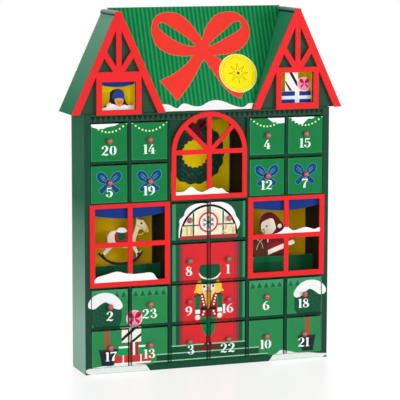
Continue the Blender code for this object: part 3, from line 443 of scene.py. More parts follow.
pictures += [
    (gold, smooth([(-14.2, 119.7), (-17.4, 115.5), (-19.2, 107.8), (-21.5, 103.2), (-16.5, 103.0),
        (-12.0, 100.8), (-9.4, 103.0), (-8.4, 111.5), (-10.4, 117.7)])),
    (gold, smooth([(12.4, 119.8), (15.4, 117.9), (18.6, 113.8), (19.2, 108.1), (22.3, 103.9), (17.8, 102.9),
        (12.2, 101.0), (9.2, 103.4), (8.4, 112.0)])),
    (skin, np.array([(-8.8, 115), (8.8, 115), (9.2, 103.0), (6.0, 98.6), (-6.2, 98.8), (-8.8, 103.6)])),
    (eye_black, disc(-6.4, 110.9, 1.65, 1.1, 14)), (eye_black, disc(6.5, 111.2, 1.65, 1.1, 14)),
    ("#f3c3ae", disc(-6.2, 105.6, 1.7, 0.8, 14)), ("#f3c3ae", disc(6.4, 105.6, 1.7, 0.8, 14)),
    ("#c9a678", smooth([(-1.5, 110.4), (1.3, 110.4), (2.2, 104.6), (-2.4, 104.6)])),
    ("#c79a4c",
        smooth([(-6.0, 104.2), (-0.2, 105.8), (5.8, 104.2), (3.0, 101.6), (-0.2, 102.6), (-3.4, 101.8)])),
    (gold, smooth([(-5.8, 101.4), (5.6, 101.2), (3.8, 91.6), (-1.0, 79.4), (-4.6, 91.0)])),
    ("#d59b2a", nib([(0.2, 100), (0.4, 92), (-0.8, 82)], (0.9, 1.6, 0.4))),
    ("#0f6b42", np.array([(-12.0, 121.8), (12.2, 121.8), (8.4, 113.4), (-8.6, 113.8)])),
    ("#0f5538", np.array([(-13.6, 138.6), (-12.0, 140.5), (-9.4, 141.2), (12.8, 141.2), (15.6, 140.4),
        (16.9, 138.2), (17.0, 131.0), (13.6, 125.6), (8.0, 122.4), (0.7, 121.6), (-6.6, 123.4),
        (-12.2, 128.2), (-14.3, 134)])),
    ("#0b3f2b", block(-11.4, 14.8, 139.8, 141.2)),
    ("#e6ecd8", nib([(-14.4, 129.8), (-10.2, 124.6), (-4.8, 122.0), (1.6, 120.7), (8.0, 121.3),
        (12.5, 123.8), (17.4, 128.8)], (0.8, 2.2, 1.9, 1.7, 1.9, 2.2, 0.8)))]

# Two clipped trees in pots, with caps of snow.
tree_cap = smooth([(-25.8, 15.2), (-23.0, 21.0), (-16.0, 26.7), (-7.6, 29.4), (2.2, 29.4), (10.6, 26.4),
    (17.7, 20.5), (22.3, 13.3), (22.6, 9.2), (19.7, 6.2), (14.8, 6.3), (9.9, 8.7), (5.0, 13.1), (0.7, 16.4),
    (-3.5, 16.4), (-9.1, 13.3), (-15.4, 8.9), (-19.6, 8.5), (-24.5, 10.2)])
crown_turns = np.linspace(0, 2 * np.pi, 40, endpoint=False)
# The crown's outline is the superellipse |x / 21.6|^3 + |z / 21.5|^3 = 1.
crown = np.stack([reach * np.sign(part) * np.abs(part) ** (2 / 3)
    for reach, part in ((21.6, np.cos(crown_turns)), (21.5, np.sin(crown_turns)))], axis=1)
lying_snow = "#e3eae7"
for x, flip in ((-146.2, 1), (148.3, -1)):
    tree = [("#a8503a", [(-1.8, -48.0), (4.2, -48.0), (4.6, -20.0), (-2.2, -20.0)]),
            ("#242a33", [(-10.8, -48.0), (16.2, -48.0), (9.2, -70.5), (-6.8, -70.5)]),
            ("#30363f", [(-11.4, -48.0), (16.8, -48.0), (16.0, -51.0), (-10.6, -51.0)]),
            ("#1b4f38", crown)]
    leaf = smooth([(0, 0), (1.4, 1.2), (3.6, 0), (1.4, -1.2)], 2)
    for ring, count in ((5.5, 7), (11.5, 13), (17.5, 19)):
        for turn in np.linspace(0, 2 * np.pi, count, endpoint=False) + ring:
            way = rotation(turn)
            tree.append(("#23583f", leaf @ way + ring * way[0]))
    tree.append(("#edf0f1", tree_cap))
    pictures += [(ink, moved(shape, x, 81.2, 1, flip)) for ink, shape in tree]

# Parcels and a round sweet at the foot of the left tree.
pink, sweet_rim, bow_red = "#f08fb0", "#f9c3d2", "#bf1d3c"
pictures += [
    ("#f3efe0", block(-124.9, -97.2, 41.0, 61.8)),
    ("#f3efe0", np.array([(-127.3, 61.8), (-124.9, 58.8), (-122.5, 61.8)])),
    ("#1d2019", np.array([(-124.9, 47.2), (-107.2, 61.8), (-100.6, 61.8), (-124.9, 42.4)])),
    ("#1d2019", np.array([(-113.6, 41.0), (-97.2, 52.8), (-97.2, 49.0), (-107.6, 41.0)])),
    ("#0f9a55", block(-129.0, -91.0, 23.0, 34.6)), (snow, block(-129.0, -91.0, 33.4, 36.0)),
    ("#b52a2a", block(-114.0, -100.8, 23.0, 41.0)), ("#c8392f", block(-135.3, -83.0, 11.5, 23.4)),
    (snow, block(-135.3, -83.0, 11.0, 13.2)), (snow, block(-123.6, -121.6, 11.5, 23.4)),
    (snow, block(-98.6, -96.6, 11.5, 23.4)), (snow, block(-109.0, -105.9, 23.0, 41.0)),
    (sweet_rim, disc(-106.7, 73.3, 11.6)), (pink, disc(-106.7, 73.3, 9.9))]
pictures += ribbon_bow(-106.7, 73.6, 0.54, bow_red, "#8d1430")

# Snow lying at the foot of the house.
foot_snow = [
    (lying_snow, bank([(-164.0, -0.4), (-169.8, 0.6), (-174.2, 2.6), (-175.6, 5.4), (-173.4, 7.6),
        (-165.6, 9.0), (-158.6, 9.8), (-150.1, 10.7), (-141.6, 9.9), (-133.1, 11.1), (-121.8, 11.6),
        (-113.3, 11.5), (-101.9, 10.1), (-91.9, 9.0), (-89.0, 6.4), (-85.5, 1.3)], [(-84.0, -1)])),
    (lying_snow, np.concatenate([
        [(166.0, -1), (88.8, -1)],
        through([(89.6, 1.1), (93.0, 5.5), (95.2, 8.2), (100.4, 9.9), (104.2, 13.2), (108.6, 14.3),
            (114.7, 13.0), (122.2, 11.2), (131.2, 9.1), (141.8, 8.7), (150.9, 7.9), (160.0, 6.6),
            (176.2, 5.2)]), [(176.2, 3.2), (171.6, 1.4)]]))]
pictures += foot_snow

# Fanlight over the door: a half-round window under snow, with a star in its ring.
ink_black, cream = "#15150f", "#ebeedb"
half_turn = np.linspace(0, np.pi, 33)
arch = np.stack([np.cos(half_turn), np.sin(half_turn)], axis=1)
fanlight = [
    (snow, bank([(40.9, 187.0), (43.6, 190.6), (45.3, 195.4), (43.8, 200.3), (39.6, 206.0), (38.0, 211.6),
        (33.5, 218.7), (26.2, 223.9), (16.0, 226.7), (3.0, 227.1), (-1.4, 225.2), (-12.9, 226.0),
        (-23.0, 224.2), (-30.2, 220.4), (-34.5, 215.2), (-36.1, 209.8), (-42.2, 204.6), (-42.0, 198.0),
        (-43.2, 190.0), (-43.4, 180.0)], [(0, 180)])),
    (ink_black, arch * (42.0, 44.2) + (0, 180)),
    (cream, arch * (39.2, 41.2) + (0, 180)), ("#f8dac6", disc(-0.6, 199.5, 18.6)),
    ("#f0dfb4", block(-38.2, -23.1, 180, 195.2)), ("#f0dfb4", block(21.7, 38.4, 180, 195.2)),
    ("#eee6cb", block(-21.3, 0, 180, 188.0)), ("#eee6cb", block(0, 19.9, 180, 188.0)),
    ("#11583a", block(-23.3, -21.1, 180, 213.6)), ("#11583a", block(19.7, 21.9, 180, 214.4)),
    ("#2b4f2c", block(-38.4, 38.6, 195.2, 197.0)), ("#123a28", block(-0.95, 0.95, 180, 222.6)),
    ("#b5443a", disc(-0.6, 199.5, 14.2, 1, 40)), ("#fbe6dc", disc(-0.6, 199.5, 11.8, 1, 40)),
    ("#a93a3a", block(-41.6, 41.6, 176.8, 182.0))]
for turn in np.arange(6) * np.pi / 3 + np.pi / 6:
    for shape in ([(0, 0.8), (9.4, 0.5), (9.4, -0.5), (0, -0.8)],
            [(5.0, 0.5), (7.4, 3.0), (8.2, 2.4), (5.8, -0.3)],
            [(5.0, -0.5), (7.4, -3.0), (8.2, -2.4), (5.8, 0.3)]):
        fanlight.append(("#1d4a66", np.array(shape) @ rotation(turn) + (-0.6, 199.5)))
pictures += fanlight

# Numerals in a fat-faced letter, in a box 0.6 wide and 1 high: strokes of a broad nib.
blob, low_blob = (disc(0.13, middle, 0.085, 1.1, 14) for middle in (0.80, 0.20))
half_nought = nib([(0.265, 0.985), (0.155, 0.82), (0.115, 0.5), (0.155, 0.18), (0.265, 0.015)],
    (0.02, 0.13, 0.19, 0.13, 0.02))
six = [
    nib([(0.47, 0.99), (0.28, 0.90), (0.13, 0.60), (0.15, 0.22), (0.31, 0.015)],
        (0.03, 0.08, 0.17, 0.18, 0.02)),
    nib([(0.20, 0.52), (0.33, 0.60), (0.47, 0.48), (0.485, 0.22), (0.31, 0.015)],
        (0.02, 0.05, 0.15, 0.17, 0.02))]
numerals = {
    0: [half_nought, half_nought * (-1, 1) + (0.6, 0)],
    1: [block(0.10, 0.27, 0.02, 0.99), np.array([(0.0, 0.86), (0.10, 0.99), (0.10, 0.88)]),
        block(0.02, 0.35, 0.0, 0.045)],
    2: [
        blob,
        nib([(0.10, 0.88), (0.24, 0.98), (0.40, 0.96), (0.47, 0.76), (0.42, 0.54), (0.22, 0.28),
            (0.06, 0.06)], (0.03, 0.05, 0.10, 0.19, 0.16, 0.07, 0.05)),
        nib([(0.05, 0.04), (0.18, 0.12), (0.34, 0.08), (0.47, 0.05), (0.55, 0.16)],
            (0.04, 0.14, 0.17, 0.12, 0.04))],
    3: [
        blob, low_blob,
        nib([(0.10, 0.88), (0.24, 0.98), (0.40, 0.93), (0.43, 0.74), (0.36, 0.58), (0.20, 0.53)],
            (0.03, 0.05, 0.12, 0.17, 0.10, 0.04)),
        nib([(0.20, 0.53), (0.40, 0.48), (0.49, 0.30), (0.43, 0.08), (0.26, 0.02), (0.10, 0.12)],
            (0.04, 0.10, 0.19, 0.12, 0.05, 0.03))],
    4: [
        block(0.32, 0.49, 0.02, 0.64), np.array([(0.32, 0.99), (0.45, 0.99), (0.12, 0.36), (0.04, 0.30)]),
        block(0.04, 0.59, 0.26, 0.315), block(0.24, 0.57, 0.0, 0.045)],
    5: [
        np.array([(0.13, 0.99), (0.52, 0.99), (0.46, 0.85), (0.13, 0.85)]), block(0.13, 0.175, 0.52, 0.9),
        low_blob,
        nib([(0.14, 0.54), (0.30, 0.62), (0.45, 0.54), (0.49, 0.32), (0.42, 0.08), (0.26, 0.02),
            (0.10, 0.12)], (0.03, 0.06, 0.12, 0.19, 0.12, 0.05, 0.03))],
    6: six,
    7: [
        block(0.06, 0.55, 0.84, 0.99), block(0.06, 0.10, 0.76, 0.9),
        nib([(0.52, 0.86), (0.36, 0.58), (0.28, 0.30), (0.27, 0.0)], (0.05, 0.10, 0.17, 0.20))],
    8: [nib([(0.44, 0.84), (0.30, 0.985), (0.15, 0.86), (0.17, 0.68), (0.32, 0.52), (0.47, 0.36),
        (0.46, 0.12), (0.29, 0.015)], (0.05, 0.05, 0.12, 0.17, 0.20, 0.19, 0.13, 0.04)),
        nib([(0.45, 0.86), (0.44, 0.68), (0.30, 0.53), (0.13, 0.36), (0.12, 0.14), (0.29, 0.015)],
            (0.07, 0.07, 0.05, 0.10, 0.10, 0.04))],
    9: [(0.6, 1.0) - shape for shape in six]}


def number_on(number, x, z, colour):
    """Numeral under a knob: figures 12.6 mm high, each 11.3 mm wide (a one 6.4), centred."""
    figures = [int(figure) for figure in str(number)]
    reach = [6.4 if figure == 1 else 11.3 for figure in figures]
    at = x - sum(reach) / 2
    drawn = []
    for figure, width in zip(figures, reach):
        drawn += [(colour, shape * (17.6, 12.6) + (at, z)) for shape in numerals[figure]]
        at += width
    return drawn


# Bead swags and icicled snow under the eave, blue bows below them, a band of
# firs on the row under the windows, and the door with its posts.
eave_snow = {
    20: [(-167.5, 341), (-167.6, 338.0), (-164.6, 334.6), (-158.5, 332.7), (-149.9, 332.0), (-144.7, 333.9),
        (-139.4, 334.9), (-133.4, 335.6), (-128.1, 338.3), (-127.5, 341)],
    4: [(84.3, 341), (84.3, 339.2), (88.4, 336.1), (93.0, 332.5), (97.6, 332.7), (103.2, 330.8),
        (109.6, 331.5), (112, 331.8), (112, 341)],
    15: [(116.5, 341), (116.5, 339.8), (120.7, 337.1), (125.3, 332.7), (130.9, 329.9), (136.5, 328.4),
        (141.1, 332.6), (145.7, 336.3), (150.4, 335.7), (153.6, 336.9), (155.5, 341)]}
for number, (node, x, z, row, in_door, slot) in drawers.items():
    ground = "#1c5639" if in_door else "#2d874d" if row > 3 else "#187b42"
    inks = []
    # Painted highlight: a lighter green strip along the bottom and left edge of each house drawer's front,
    # where the paper turns round the card.
    if not in_door:
        inks += [("#3a9a66", block(x - 26, x + 26, z - 26, z - 24.3)),
            ("#3a9a66", block(x - 26, x - 24.5, z - 26, z + 26))]
    if row == 0:
        inks += [("#d8f5b0", disc(x + step, z + 13.7 + 11.6 * (step / 24.5) ** 2, 1.35, 1, 12))
                 for step in np.linspace(-24.4, 24.4, 11)]
        if number in eave_snow:
            inks += [(snow, np.array(eave_snow[number]))]
    if row == 1:
        inks += blue_bow(x - 0.4, z + 1.0)
    if row == 4 and not in_door:
        inks += [("#3f9363", block(x - 26, x + 26, z + 13.3, z + 26))]
        inks += [("#16683b", moved([(-4.05, 0), (4.05, 0), (0, 8.0)], x - 20.05 + 9.9 * step, z + 14.0))
            for step in range(5)]
    if in_door:
        inks += [("#3a8f63", block(-52.4, -47.6, 0, 230)), ("#3a8f63", block(49.5, 53.0, 0, 230))]
        if row > 2:
            inks += [("#94323f", block(-41.8, 43.9, 31.0, 171.5)),
                ("#b3313a", block(-39.4, 41.0, 31.0, 171.5)), ("#d82d32", block(-36.6, 36.4, 31.0, 171.5))]
    inks += pictures
    shift = 2.0 if number == 17 else 3.0 if number == 3 else 0.0
    rise = 2.8 if number in (3, 10) else (1.4, 1.4, 0.0, 0.0, 1.1, 1.8)[row]
    figures = "#ccb98a" if row == 2 else "#fff2f0" if in_door and row in (3, 4) else "#f2fff8"
    inks += number_on(number, x + shift, z - 18.5 + rise, figures)
    lay_print(f"{node}_print", front, -0.0004, [node], inks, ground, node)

head_teeth = [(dark_rail, block(-180, 180, 340.9, 353))]
head_teeth += [("#12251b", moved([(-3.4, 2.6), (0, -4.8), (3.4, 2.6)], x, 346.4))
    for x in np.arange(-164.0, 166.0, 7.3)]
lay_print("house_front_print", front, 0.0, ["base_rail", "head_rail", "left_side_wall", "right_side_wall"],
          head_teeth + pictures, "#1f4736")
# Painted shadow: a grey line along the bottom of the foot snow.
foot_shadow_line = [("#bcc8c2", nib([(start, 0.6), (end, 0.6)], 0.7))
    for start, end in ((-162.0, -86.0), (91.0, 165.0))]
lay_print("foot_snow", front, 0.0, [block(-176.3, 176.3, 0.2, 7.2)], foot_snow + foot_shadow_line,
    thickness=0.0002, lift=0.0003)
door_edges = [("#94323f", block(-41.8, 43.9, 31.7, 171.5)), ("#d82d32", block(-36.4, 36.2, 31.7, 171.5))]
# Painted shade: on the divider edges the drawing is darkened to 0.72 of its colours, over a ground darker
# than the board.
edge_art_in_shade = [(deeper(ink, 0.72), shape) for ink, shape in door_edges + pictures]
lay_print("shelf_edges_print", front, 0.0, shelves, edge_art_in_shade, "#16402d")
lay_print("upright_edges_print", front, 0.0, uprights, edge_art_in_shade, "#16402d")

# Knobs
# Small turned knobs of lacquered wood, pressed into the front cards: red on the
# house, dark red and olive green on the door and its steps.


def ring_quads(rings, steps):
    """Quads between neighbouring rings of equally many points, each ring closed on itself."""
    i, j = np.meshgrid(np.arange(rings - 1), np.arange(steps), indexing="ij")
    k = (j + 1) % steps
    corners = [i * steps + j, i * steps + k, (i + 1) * steps + k, (i + 1) * steps + j]
    return np.stack(corners, axis=2).reshape(-1, 4)


def turned(rings, centre, steps=28, tall=1.0):
    """Lathe form towards the front: for each (radius, reach) in mm, a ring of points centre + (radius cos a,
    -reach, tall radius sin a) about the centre in m; rings of no radius close to a pole."""
    radius, reach = np.array(rings, float).T[:, :, None] / 1000
    a = np.linspace(0, 2 * np.pi, steps, endpoint=False)[None, :]
    grid = np.stack([radius * np.cos(a), -reach + 0 * a, tall * radius * np.sin(a)], axis=2) + centre
    return grid.reshape(-1, 3), ring_quads(len(rings), steps)


def closed_form(name, points, faces, material, body, slot):
    """Mesh of a closed form, with its doubles merged, its faces turned outwards and smooth shading."""
    mesh = bpy.data.meshes.new(name)
    mesh.from_pydata(points.tolist(), [], faces.tolist())
    work = bmesh.new()
    work.from_mesh(mesh)
    bmesh.ops.remove_doubles(work, verts=work.verts, dist=0.000005)
    bmesh.ops.recalc_face_normals(work, faces=work.faces)
    work.to_mesh(mesh)
    work.free()
    mesh.polygons.foreach_set("use_smooth", [True] * len(mesh.polygons))
    mesh.materials.append(material)
    form = bpy.data.objects.new(name, mesh)
    bpy.context.scene.collection.objects.link(form)
    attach(form, body)


def lacquer(name, colour, deep):
    """Lacquered wood: a clear glossy coat over a dyed grain of 0.5 mm, drawn out along the turning axis."""
    material, shader = new_surface(name)
    place = add_node(material, "ShaderNodeTexCoord").outputs["Object"]
    long = add_node(material, "ShaderNodeMapping", [("Vector", place), ("Scale", (2000.0, 300.0, 2000.0))])
    grain = add_node(material, "ShaderNodeTexNoise",
        [("Vector", long.outputs[0]), ("Scale", 1.0), ("Detail", 2.0)])
    tint = add_node(material, "ShaderNodeMix",
        [("Factor", grain.outputs["Fac"]), ("A", linear(deep)), ("B", linear(colour))], data_type="RGBA")
    plug(shader, [("Base Color", tint.outputs[2]), ("Roughness", 0.3), ("Coat Weight", 0.8),
        ("Coat Roughness", 0.08)])
    return material


knob_rings = [(0, 6.6), (1.2, 6.52), (2.2, 6.2), (3.1, 5.55), (3.75, 4.7), (4.0, 3.9), (3.85, 3.3),
    (3.3, 2.8), (2.6, 2.4), (2.2, 1.8), (2.1, 1.0), (2.1, 0.1), (0, 0.1)]
# Where a knob starts in its front card, and how far it sits over the card's middle (m).
knob_foot, knob_raise = -0.0266, 0.002
red_wood = lacquer("red_lacquered_wood", "#c8404b", "#a32c38")
dark_red_wood = lacquer("dark_red_lacquered_wood", "#b8303c", "#8f2029")
olive_wood = lacquer("olive_lacquered_wood", "#66733f", "#4a5630")
for number, (node, x, z, _, _, slot) in drawers.items():
    wood = olive_wood if number in (8, 1, 3, 22) else dark_red_wood if number in (9, 16) else red_wood
    centre = (x / 1000, knob_foot, z / 1000 + knob_raise)
    closed_form(f"{node}_knob", *turned(knob_rings, centre), wood, node, slot)

# Chocolates
# Two chocolates in creased foil lie on each drawer's floor, which only shows
# when the drawer is out.


def foil(name, colour):
    """Coloured aluminium foil over chocolate: bright metal, creased every 2 mm, its colour darkened to 0.75
    along the creases as painted shade.
    """
    material, shader = new_surface(name)
    place = add_node(material, "ShaderNodeTexCoord").outputs["Object"]
    creases = add_node(material, "ShaderNodeTexVoronoi", [("Vector", place), ("Scale", 480.0)],
        feature="DISTANCE_TO_EDGE")
    tint = add_node(material, "ShaderNodeMapRange",
        [("Value", creases.outputs["Distance"]), ("From Max", 0.3), ("To Min", 0.75), ("To Max", 1.05)])
    shade = add_node(material, "ShaderNodeVectorMath",
        [(0, linear(colour)[:3]), ("Scale", tint.outputs[0])], operation="SCALE")
    relief = add_node(material, "ShaderNodeBump",
        [("Strength", 0.6), ("Distance", 0.0004), ("Height", creases.outputs["Distance"])])
    plug(shader, [("Base Color", shade.outputs[0]), ("Normal", relief.outputs[0]), ("Metallic", 0.9),
        ("Roughness", 0.28)])
    return material


def wrapped_chocolate(x, y, z, radius=0.0105, height=0.0150, pleats=14, steps=48):
    """Dome of foil: the radius falls as (1 - h^2.4)^(1/2.4) over the height, waved by pleats that fade to
    the top."""
    h = np.concatenate([[0.0, 0.0], np.sin(np.linspace(0, np.pi / 2, 13))])[:, None]
    a = np.linspace(0, 2 * np.pi, steps, endpoint=False)[None, :]
    swell = np.maximum(1 - h ** 2.4, 0) ** (1 / 2.4)
    reach = radius * swell * (1 + 0.035 * np.sin(pleats * a) * (1 - h))
    reach[0] = 0
    grid = np.stack([x + reach * np.cos(a), y + reach * np.sin(a), z + height * h + 0 * a], axis=2)
    return grid.reshape(-1, 3), ring_quads(len(h), steps)


foils = [foil("gold_foil", "#d9a93c"), foil("red_foil", "#b3202c"), foil("green_foil", "#1c7a46")]
drawer_floor = 0.02370  # m under the drawer's middle
for count, (node, x, z, *_) in enumerate(drawers.values()):
    for place, y in enumerate((-0.0085, 0.0145)):
        sideways = 0.0015 * (-1) ** (count + place)
        dome = wrapped_chocolate(x / 1000 + sideways, y, z / 1000 - drawer_floor)
        closed_form(f"{node}_chocolate_{place + 1}", *dome, foils[(count + place) % 3], node, "drawer_card")

# Window frames
# Two square frames and one round-headed one, die cut from 1.8 mm board covered
# in red paper, with snow printed where their cut edge is wavy.
red_board = board("printed_red_board", "#e9272b", 0.45, 0.07)
dress(red_board, "left_window_frame", "right_window_frame", "arched_window_frame")
frame_snow = {
    "left": [(-163.6, 125.4), (-163.2, 129.6), (-159.0, 133.6), (-147.8, 136.1), (-140.0, 138.4),
        (-132.3, 140.0), (-121.0, 136.9), (-111.2, 135.0), (-98.4, 135.3), (-85.6, 136.0), (-79.9, 133.8),
        (-75.7, 128.4), (-74.2, 125.4)],
    "right": [(93.0, 178.7), (98.0, 181.4), (105.0, 182.6), (110.2, 187.2), (116.1, 187.2), (123.6, 182.2),
        (134.8, 185.2), (143.0, 186.2), (149.8, 184.4), (154.3, 182.8), (160.3, 184.6), (163.0, 184.6),
        (163.2, 178.7)],
    "arched": [(-48.0, 238.6), (-48.0, 243.4), (-41.3, 243.0), (-37.0, 243.4), (-31.3, 247.4),
        (-26.3, 250.4), (-19.8, 246.8), (-14.0, 242.7), (-9.7, 241.5), (-5.4, 243.4), (0.4, 245.9),
        (7.6, 248.0), (13.4, 245.0), (17.8, 245.8), (23.6, 242.7), (28.0, 238.6)]}
for side, outline in frame_snow.items():
    node = f"{side}_window_frame"
    lay_print(f"{node}_snow", front, 0.0021, [node], [(snow, np.array(outline))])

# Rooms
# Behind the frames are three folded card rooms, yellow on the back wall and
# dark inside their sides, with a blue blind or a green arch and a die-cut scene.
room_board = board("dark_room_board", "#2c2a20", 0.6)
dress(room_board, "left_room_liner", "right_room_liner", "arched_room_liner")
blind_blue = "#15367f"
# Painted shade: the square rooms' back walls take a darker yellow, #e6b800, than the arched room's #ffd800.
for side, dark_from, dark_to, wall, blind in (
        ("left", -62.8, -50, "#e6b800", blind_blue), ("right", 166, 180, "#e6b800", blind_blue),
        ("arched", 50.9, 60, "#ffd800", "#1f4534")):
    liner = [f"{side}_room_liner"]
    # Painted shadow: a dark strip down the right edge of each back wall, where the room's right side wall
    # shades it.
    shade = [("#2c2a20", block(dark_from, dark_to, 100, 360))]
    lay_print(f"{side}_room_wall", front, -0.0571, liner, shade, wall)
    lay_print(f"{side}_room_top", front, -0.0034, liner, [], blind)

figure_board = board("white_figure_board", "#d8d2c4", 0.6)
dress(figure_board, "rocking_horse", "doll_with_sack")
ground_green, toy_cream, rocker = "#0f5431", "#fff6dc", "#2a2430"
horse = [
    ("#f4e4b2", smooth([(-99, 196), (-95, 210), (-84, 206), (-74, 190), (-78, 183), (-90, 186), (-94, 176),
        (-104, 174)])),
    (rocker, bank([(-146.0, 162.5), (-141.5, 158.3), (-137.9, 155.9), (-133.0, 152.0), (-126.0, 148.9),
        (-115.3, 147.5), (-102.8, 148.3), (-94.6, 151.6), (-92.4, 154.4), (-89.4, 157.4), (-84.6, 162.6)],
        [(-80, 164), (-79, 140), (-152, 140), (-151, 165)])),
    (ground_green, block(-170, -56, 118, 142.4)),
    ("#2a2420", nib([(-92.2, 203.6), (-91.2, 206.4)], 1.6)),
    ("#2a2420", nib([(-88.2, 205.0), (-86.4, 202.6)], 1.2)),
    (snow, smooth([(-107.3, 189.8), (-111.5, 194.0), (-118.6, 194.6), (-123.9, 190), (-120, 187.4),
        (-110, 187)])),
    ("#b52b2b", smooth([(-123.4, 187.6), (-106.0, 187.6), (-105.8, 172.4), (-122.8, 172.4)], 3)),
    ("#12593a", smooth([(-120.2, 188), (-110.4, 188), (-110.2, 177.4), (-119.6, 177.4)], 3)),
    (snow, smooth([(-106.4, 190.4), (-111.5, 193.8), (-118.6, 194.2), (-124.2, 190.4), (-119, 187),
        (-110, 186.6)])),
    ("#1b1712", disc(-86.8, 197.9, 1.5, 1, 14)),
    ("#c09a48", nib([(-93.2, 196.0), (-88.6, 193.6), (-84.4, 190.6)], 0.8)),
    ("#94834f", nib([(-80.4, 187.2), (-78.8, 190.8)], 0.7)),
    ("#c9b98c",
        nib([(-94.2, 203.4), (-95.8, 194.7), (-97.8, 185.2), (-101.2, 180.2)], (0.8, 1.8, 1.8, 0.6))),
    ("#3a2a20", smooth([(-144.4, 157.6), (-141.4, 154.4), (-138.8, 155.8), (-141.6, 159.2)], 2)),
    ("#3a2a20", smooth([(-93.8, 156.6), (-91.4, 153.6), (-88.4, 155.2), (-90.6, 158.4)], 2))]
lay_print("rocking_horse_print", front, -0.03, ["rocking_horse"], horse, toy_cream)
rein = nib([(-94.2, 185.2), (-92.2, 183.6), (-88.4, 182.5), (-85.0, 184.0), (-82.6, 186.6), (-81.6, 189.6)],
    1.1)
lay_print("rocking_horse_rein", front, -0.03, [rein], [], "#ffd45c", thickness=0.0004,
    lift=0.0003)
cap_red, sack = "#6a1b2a", "#5b3626"
doll = [
    (cap_red, block(60, 170, 142, 215)),
    (sack, smooth([(70, 174), (72, 150), (78, 140.4), (98, 138.8), (99.4, 151), (96.8, 168), (84, 175)])),
    ("#8c2430",
        smooth([(97.6, 166.6), (98.8, 150.0), (120, 157), (141, 164), (142, 170), (112.1, 174)], 3)),
    (toy_cream, smooth([(88.0, 185.3), (91.0, 191.5), (104.4, 195.4), (109.0, 187.1), (109.8, 180.0),
        (103.1, 172.6), (94.0, 171.6), (89.4, 177.0)])),
    (toy_cream, disc(116.0, 184.1, 3.1)),
    (toy_cream, np.array([(98.4, 150.8), (98.8, 144.2), (138.6, 157.8), (140.2, 163.4), (137.0, 164.6)])),
    (eye_black, disc(96.6, 184.6, 1.3, 1, 12)), ("#e2a68c", disc(92.0, 180.2, 1.5, 1, 14)),
    ("#d9b67c", smooth([(88.8, 178.0), (91.2, 174.6), (95.0, 172.0), (93.0, 177.2)], 3)),
    ("#6b5a2a", nib([(89.6, 180.6), (92.4, 179.2), (94.4, 176.6)], (0.4, 1.0, 0.4))),
    ("#e6d9b8", nib([(82.0, 166.6), (86.6, 164.4), (92.0, 167.4)], 0.8)),
    ("#e6d9b8", nib([(87.0, 164.8), (83.6, 158.6), (81.4, 151.8)], 0.7)),
    ("#e6d9b8", nib([(87.0, 164.8), (90.0, 158.8), (91.2, 153.4)], 0.7)),
    (toy_cream, smooth([(97.4, 166.4), (99.2, 166.2), (99.4, 162.2), (97.6, 161.8)], 2)),
    (ground_green, block(56, 170, 118, 142.4)), ("#14693c", block(60, 121, 134, 142.4)),
    ("#1d1620", np.array([(100, 142.3), (121, 142.3), (121, 145.2), (108, 144.4)]))]
lay_print("doll_with_sack_print", front, -0.03, ["doll_with_sack"], doll, cap_red)

leaf_board = board("printed_wreath_board", "#16382a")
dress(leaf_board, "wreath")
seeded = np.random.default_rng(24)
wreath = []
for ring, count in ((22.5, 34), (28.0, 40), (33.5, 46), (39.0, 52)):
    for turn in np.linspace(0, 2 * np.pi, count, endpoint=False) + seeded.uniform(-0.04, 0.04, count):
        spot = np.array([ring * math.cos(turn), 287.0 + ring * math.sin(turn)])
        shape = np.array([(-2.6, 0), (-0.4, 1.0), (3.0, 0), (-0.4, -1.0)]) * seeded.uniform(0.8, 1.25)
        wreath.append((("#1b5540", "#143f30", "#256647", "#22484e")[seeded.integers(4)],
            shape @ rotation(turn + 0.9) + spot))
wreath += [("#a3242e", disc(31 * math.cos(a), 287 + 31 * math.sin(a), 1.5, 1, 12))
    for a in (0.2, 1.3, 2.7, 3.5, 4.4, 5.6)]
lay_print("wreath_print", front, -0.0548, ["wreath"], wreath, "#17402f")
wreath_bow = [("#4c0f20", bow_fold * (0.9 * side, 1.3) + (0, 318)) for side in (1, -1)]
lay_print("wreath_bow_print", front, -0.0540, ["wreath"], wreath_bow, "#7b1a33")

# Gables
# Each gable is a folded roof of green board over a recessed green front, with a
# red timber frame, and behind its window a little yellow room.
for side, ridge_x, painted_reflection_green, painted_shade_green, painted_highlight in (
        ("left", -0.128, "#86c9a8", "#2a6149", "#dcefe5"), ("right", 0.128, "#35a575", "#144530", "#a3c9b4")):
    # Painted reflection: each gable roof's green grows paler towards the top, the left one far more, as it
    # faces the bright room and the right one faces the roof.
    roof_card = board(f"varnished_green_{side}_gable_board", "#2b9264", 0.5, 0.01, (painted_reflection_green, 0.34, 0.47, "Z"))
    dress(roof_card, f"{side}_gable_roof")
    # The ridge is folded round, its board dark below as painted shade and pale over the top as a painted
    # highlight:
    # an oval roll, 11.2 by 7.8 mm, with its middle 1.6 mm left of the ridge and 3.5 mm under the top, that
    # stands out 0.3 mm at both ends.
    crease = board(f"rubbed_{side}_ridge_board", painted_shade_green, 0.5, 0.02, (painted_highlight, 0.4832, 0.4876, "Z"))
    low, high = 1000 * np.array(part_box(f"{side}_gable_roof"))
    fold_rings = [(0, -low[1] + 0.3), (5.6, -low[1] + 0.3), (5.6, -low[1]), (5.6, -high[1]),
        (5.6, -high[1] - 0.3), (0, -high[1] - 0.3)]
    fold = turned(fold_rings, (ridge_x - 0.0016, 0.0, high[2] / 1000 - 0.0035), 40, 3.9 / 5.6)
    closed_form(f"{side}_ridge_fold", *fold, crease, "calendar_body", "gable_card")
front_board = board("matt_dark_green_board", "#2f4c38", 0.6)
dress(front_board, "left_gable_front", "right_gable_front")
dress(red_board, "left_gable_frame", "right_gable_frame")
yellow_board = board("printed_yellow_board", "#ffe414")
dress(yellow_board, "left_gable_room", "right_gable_room")
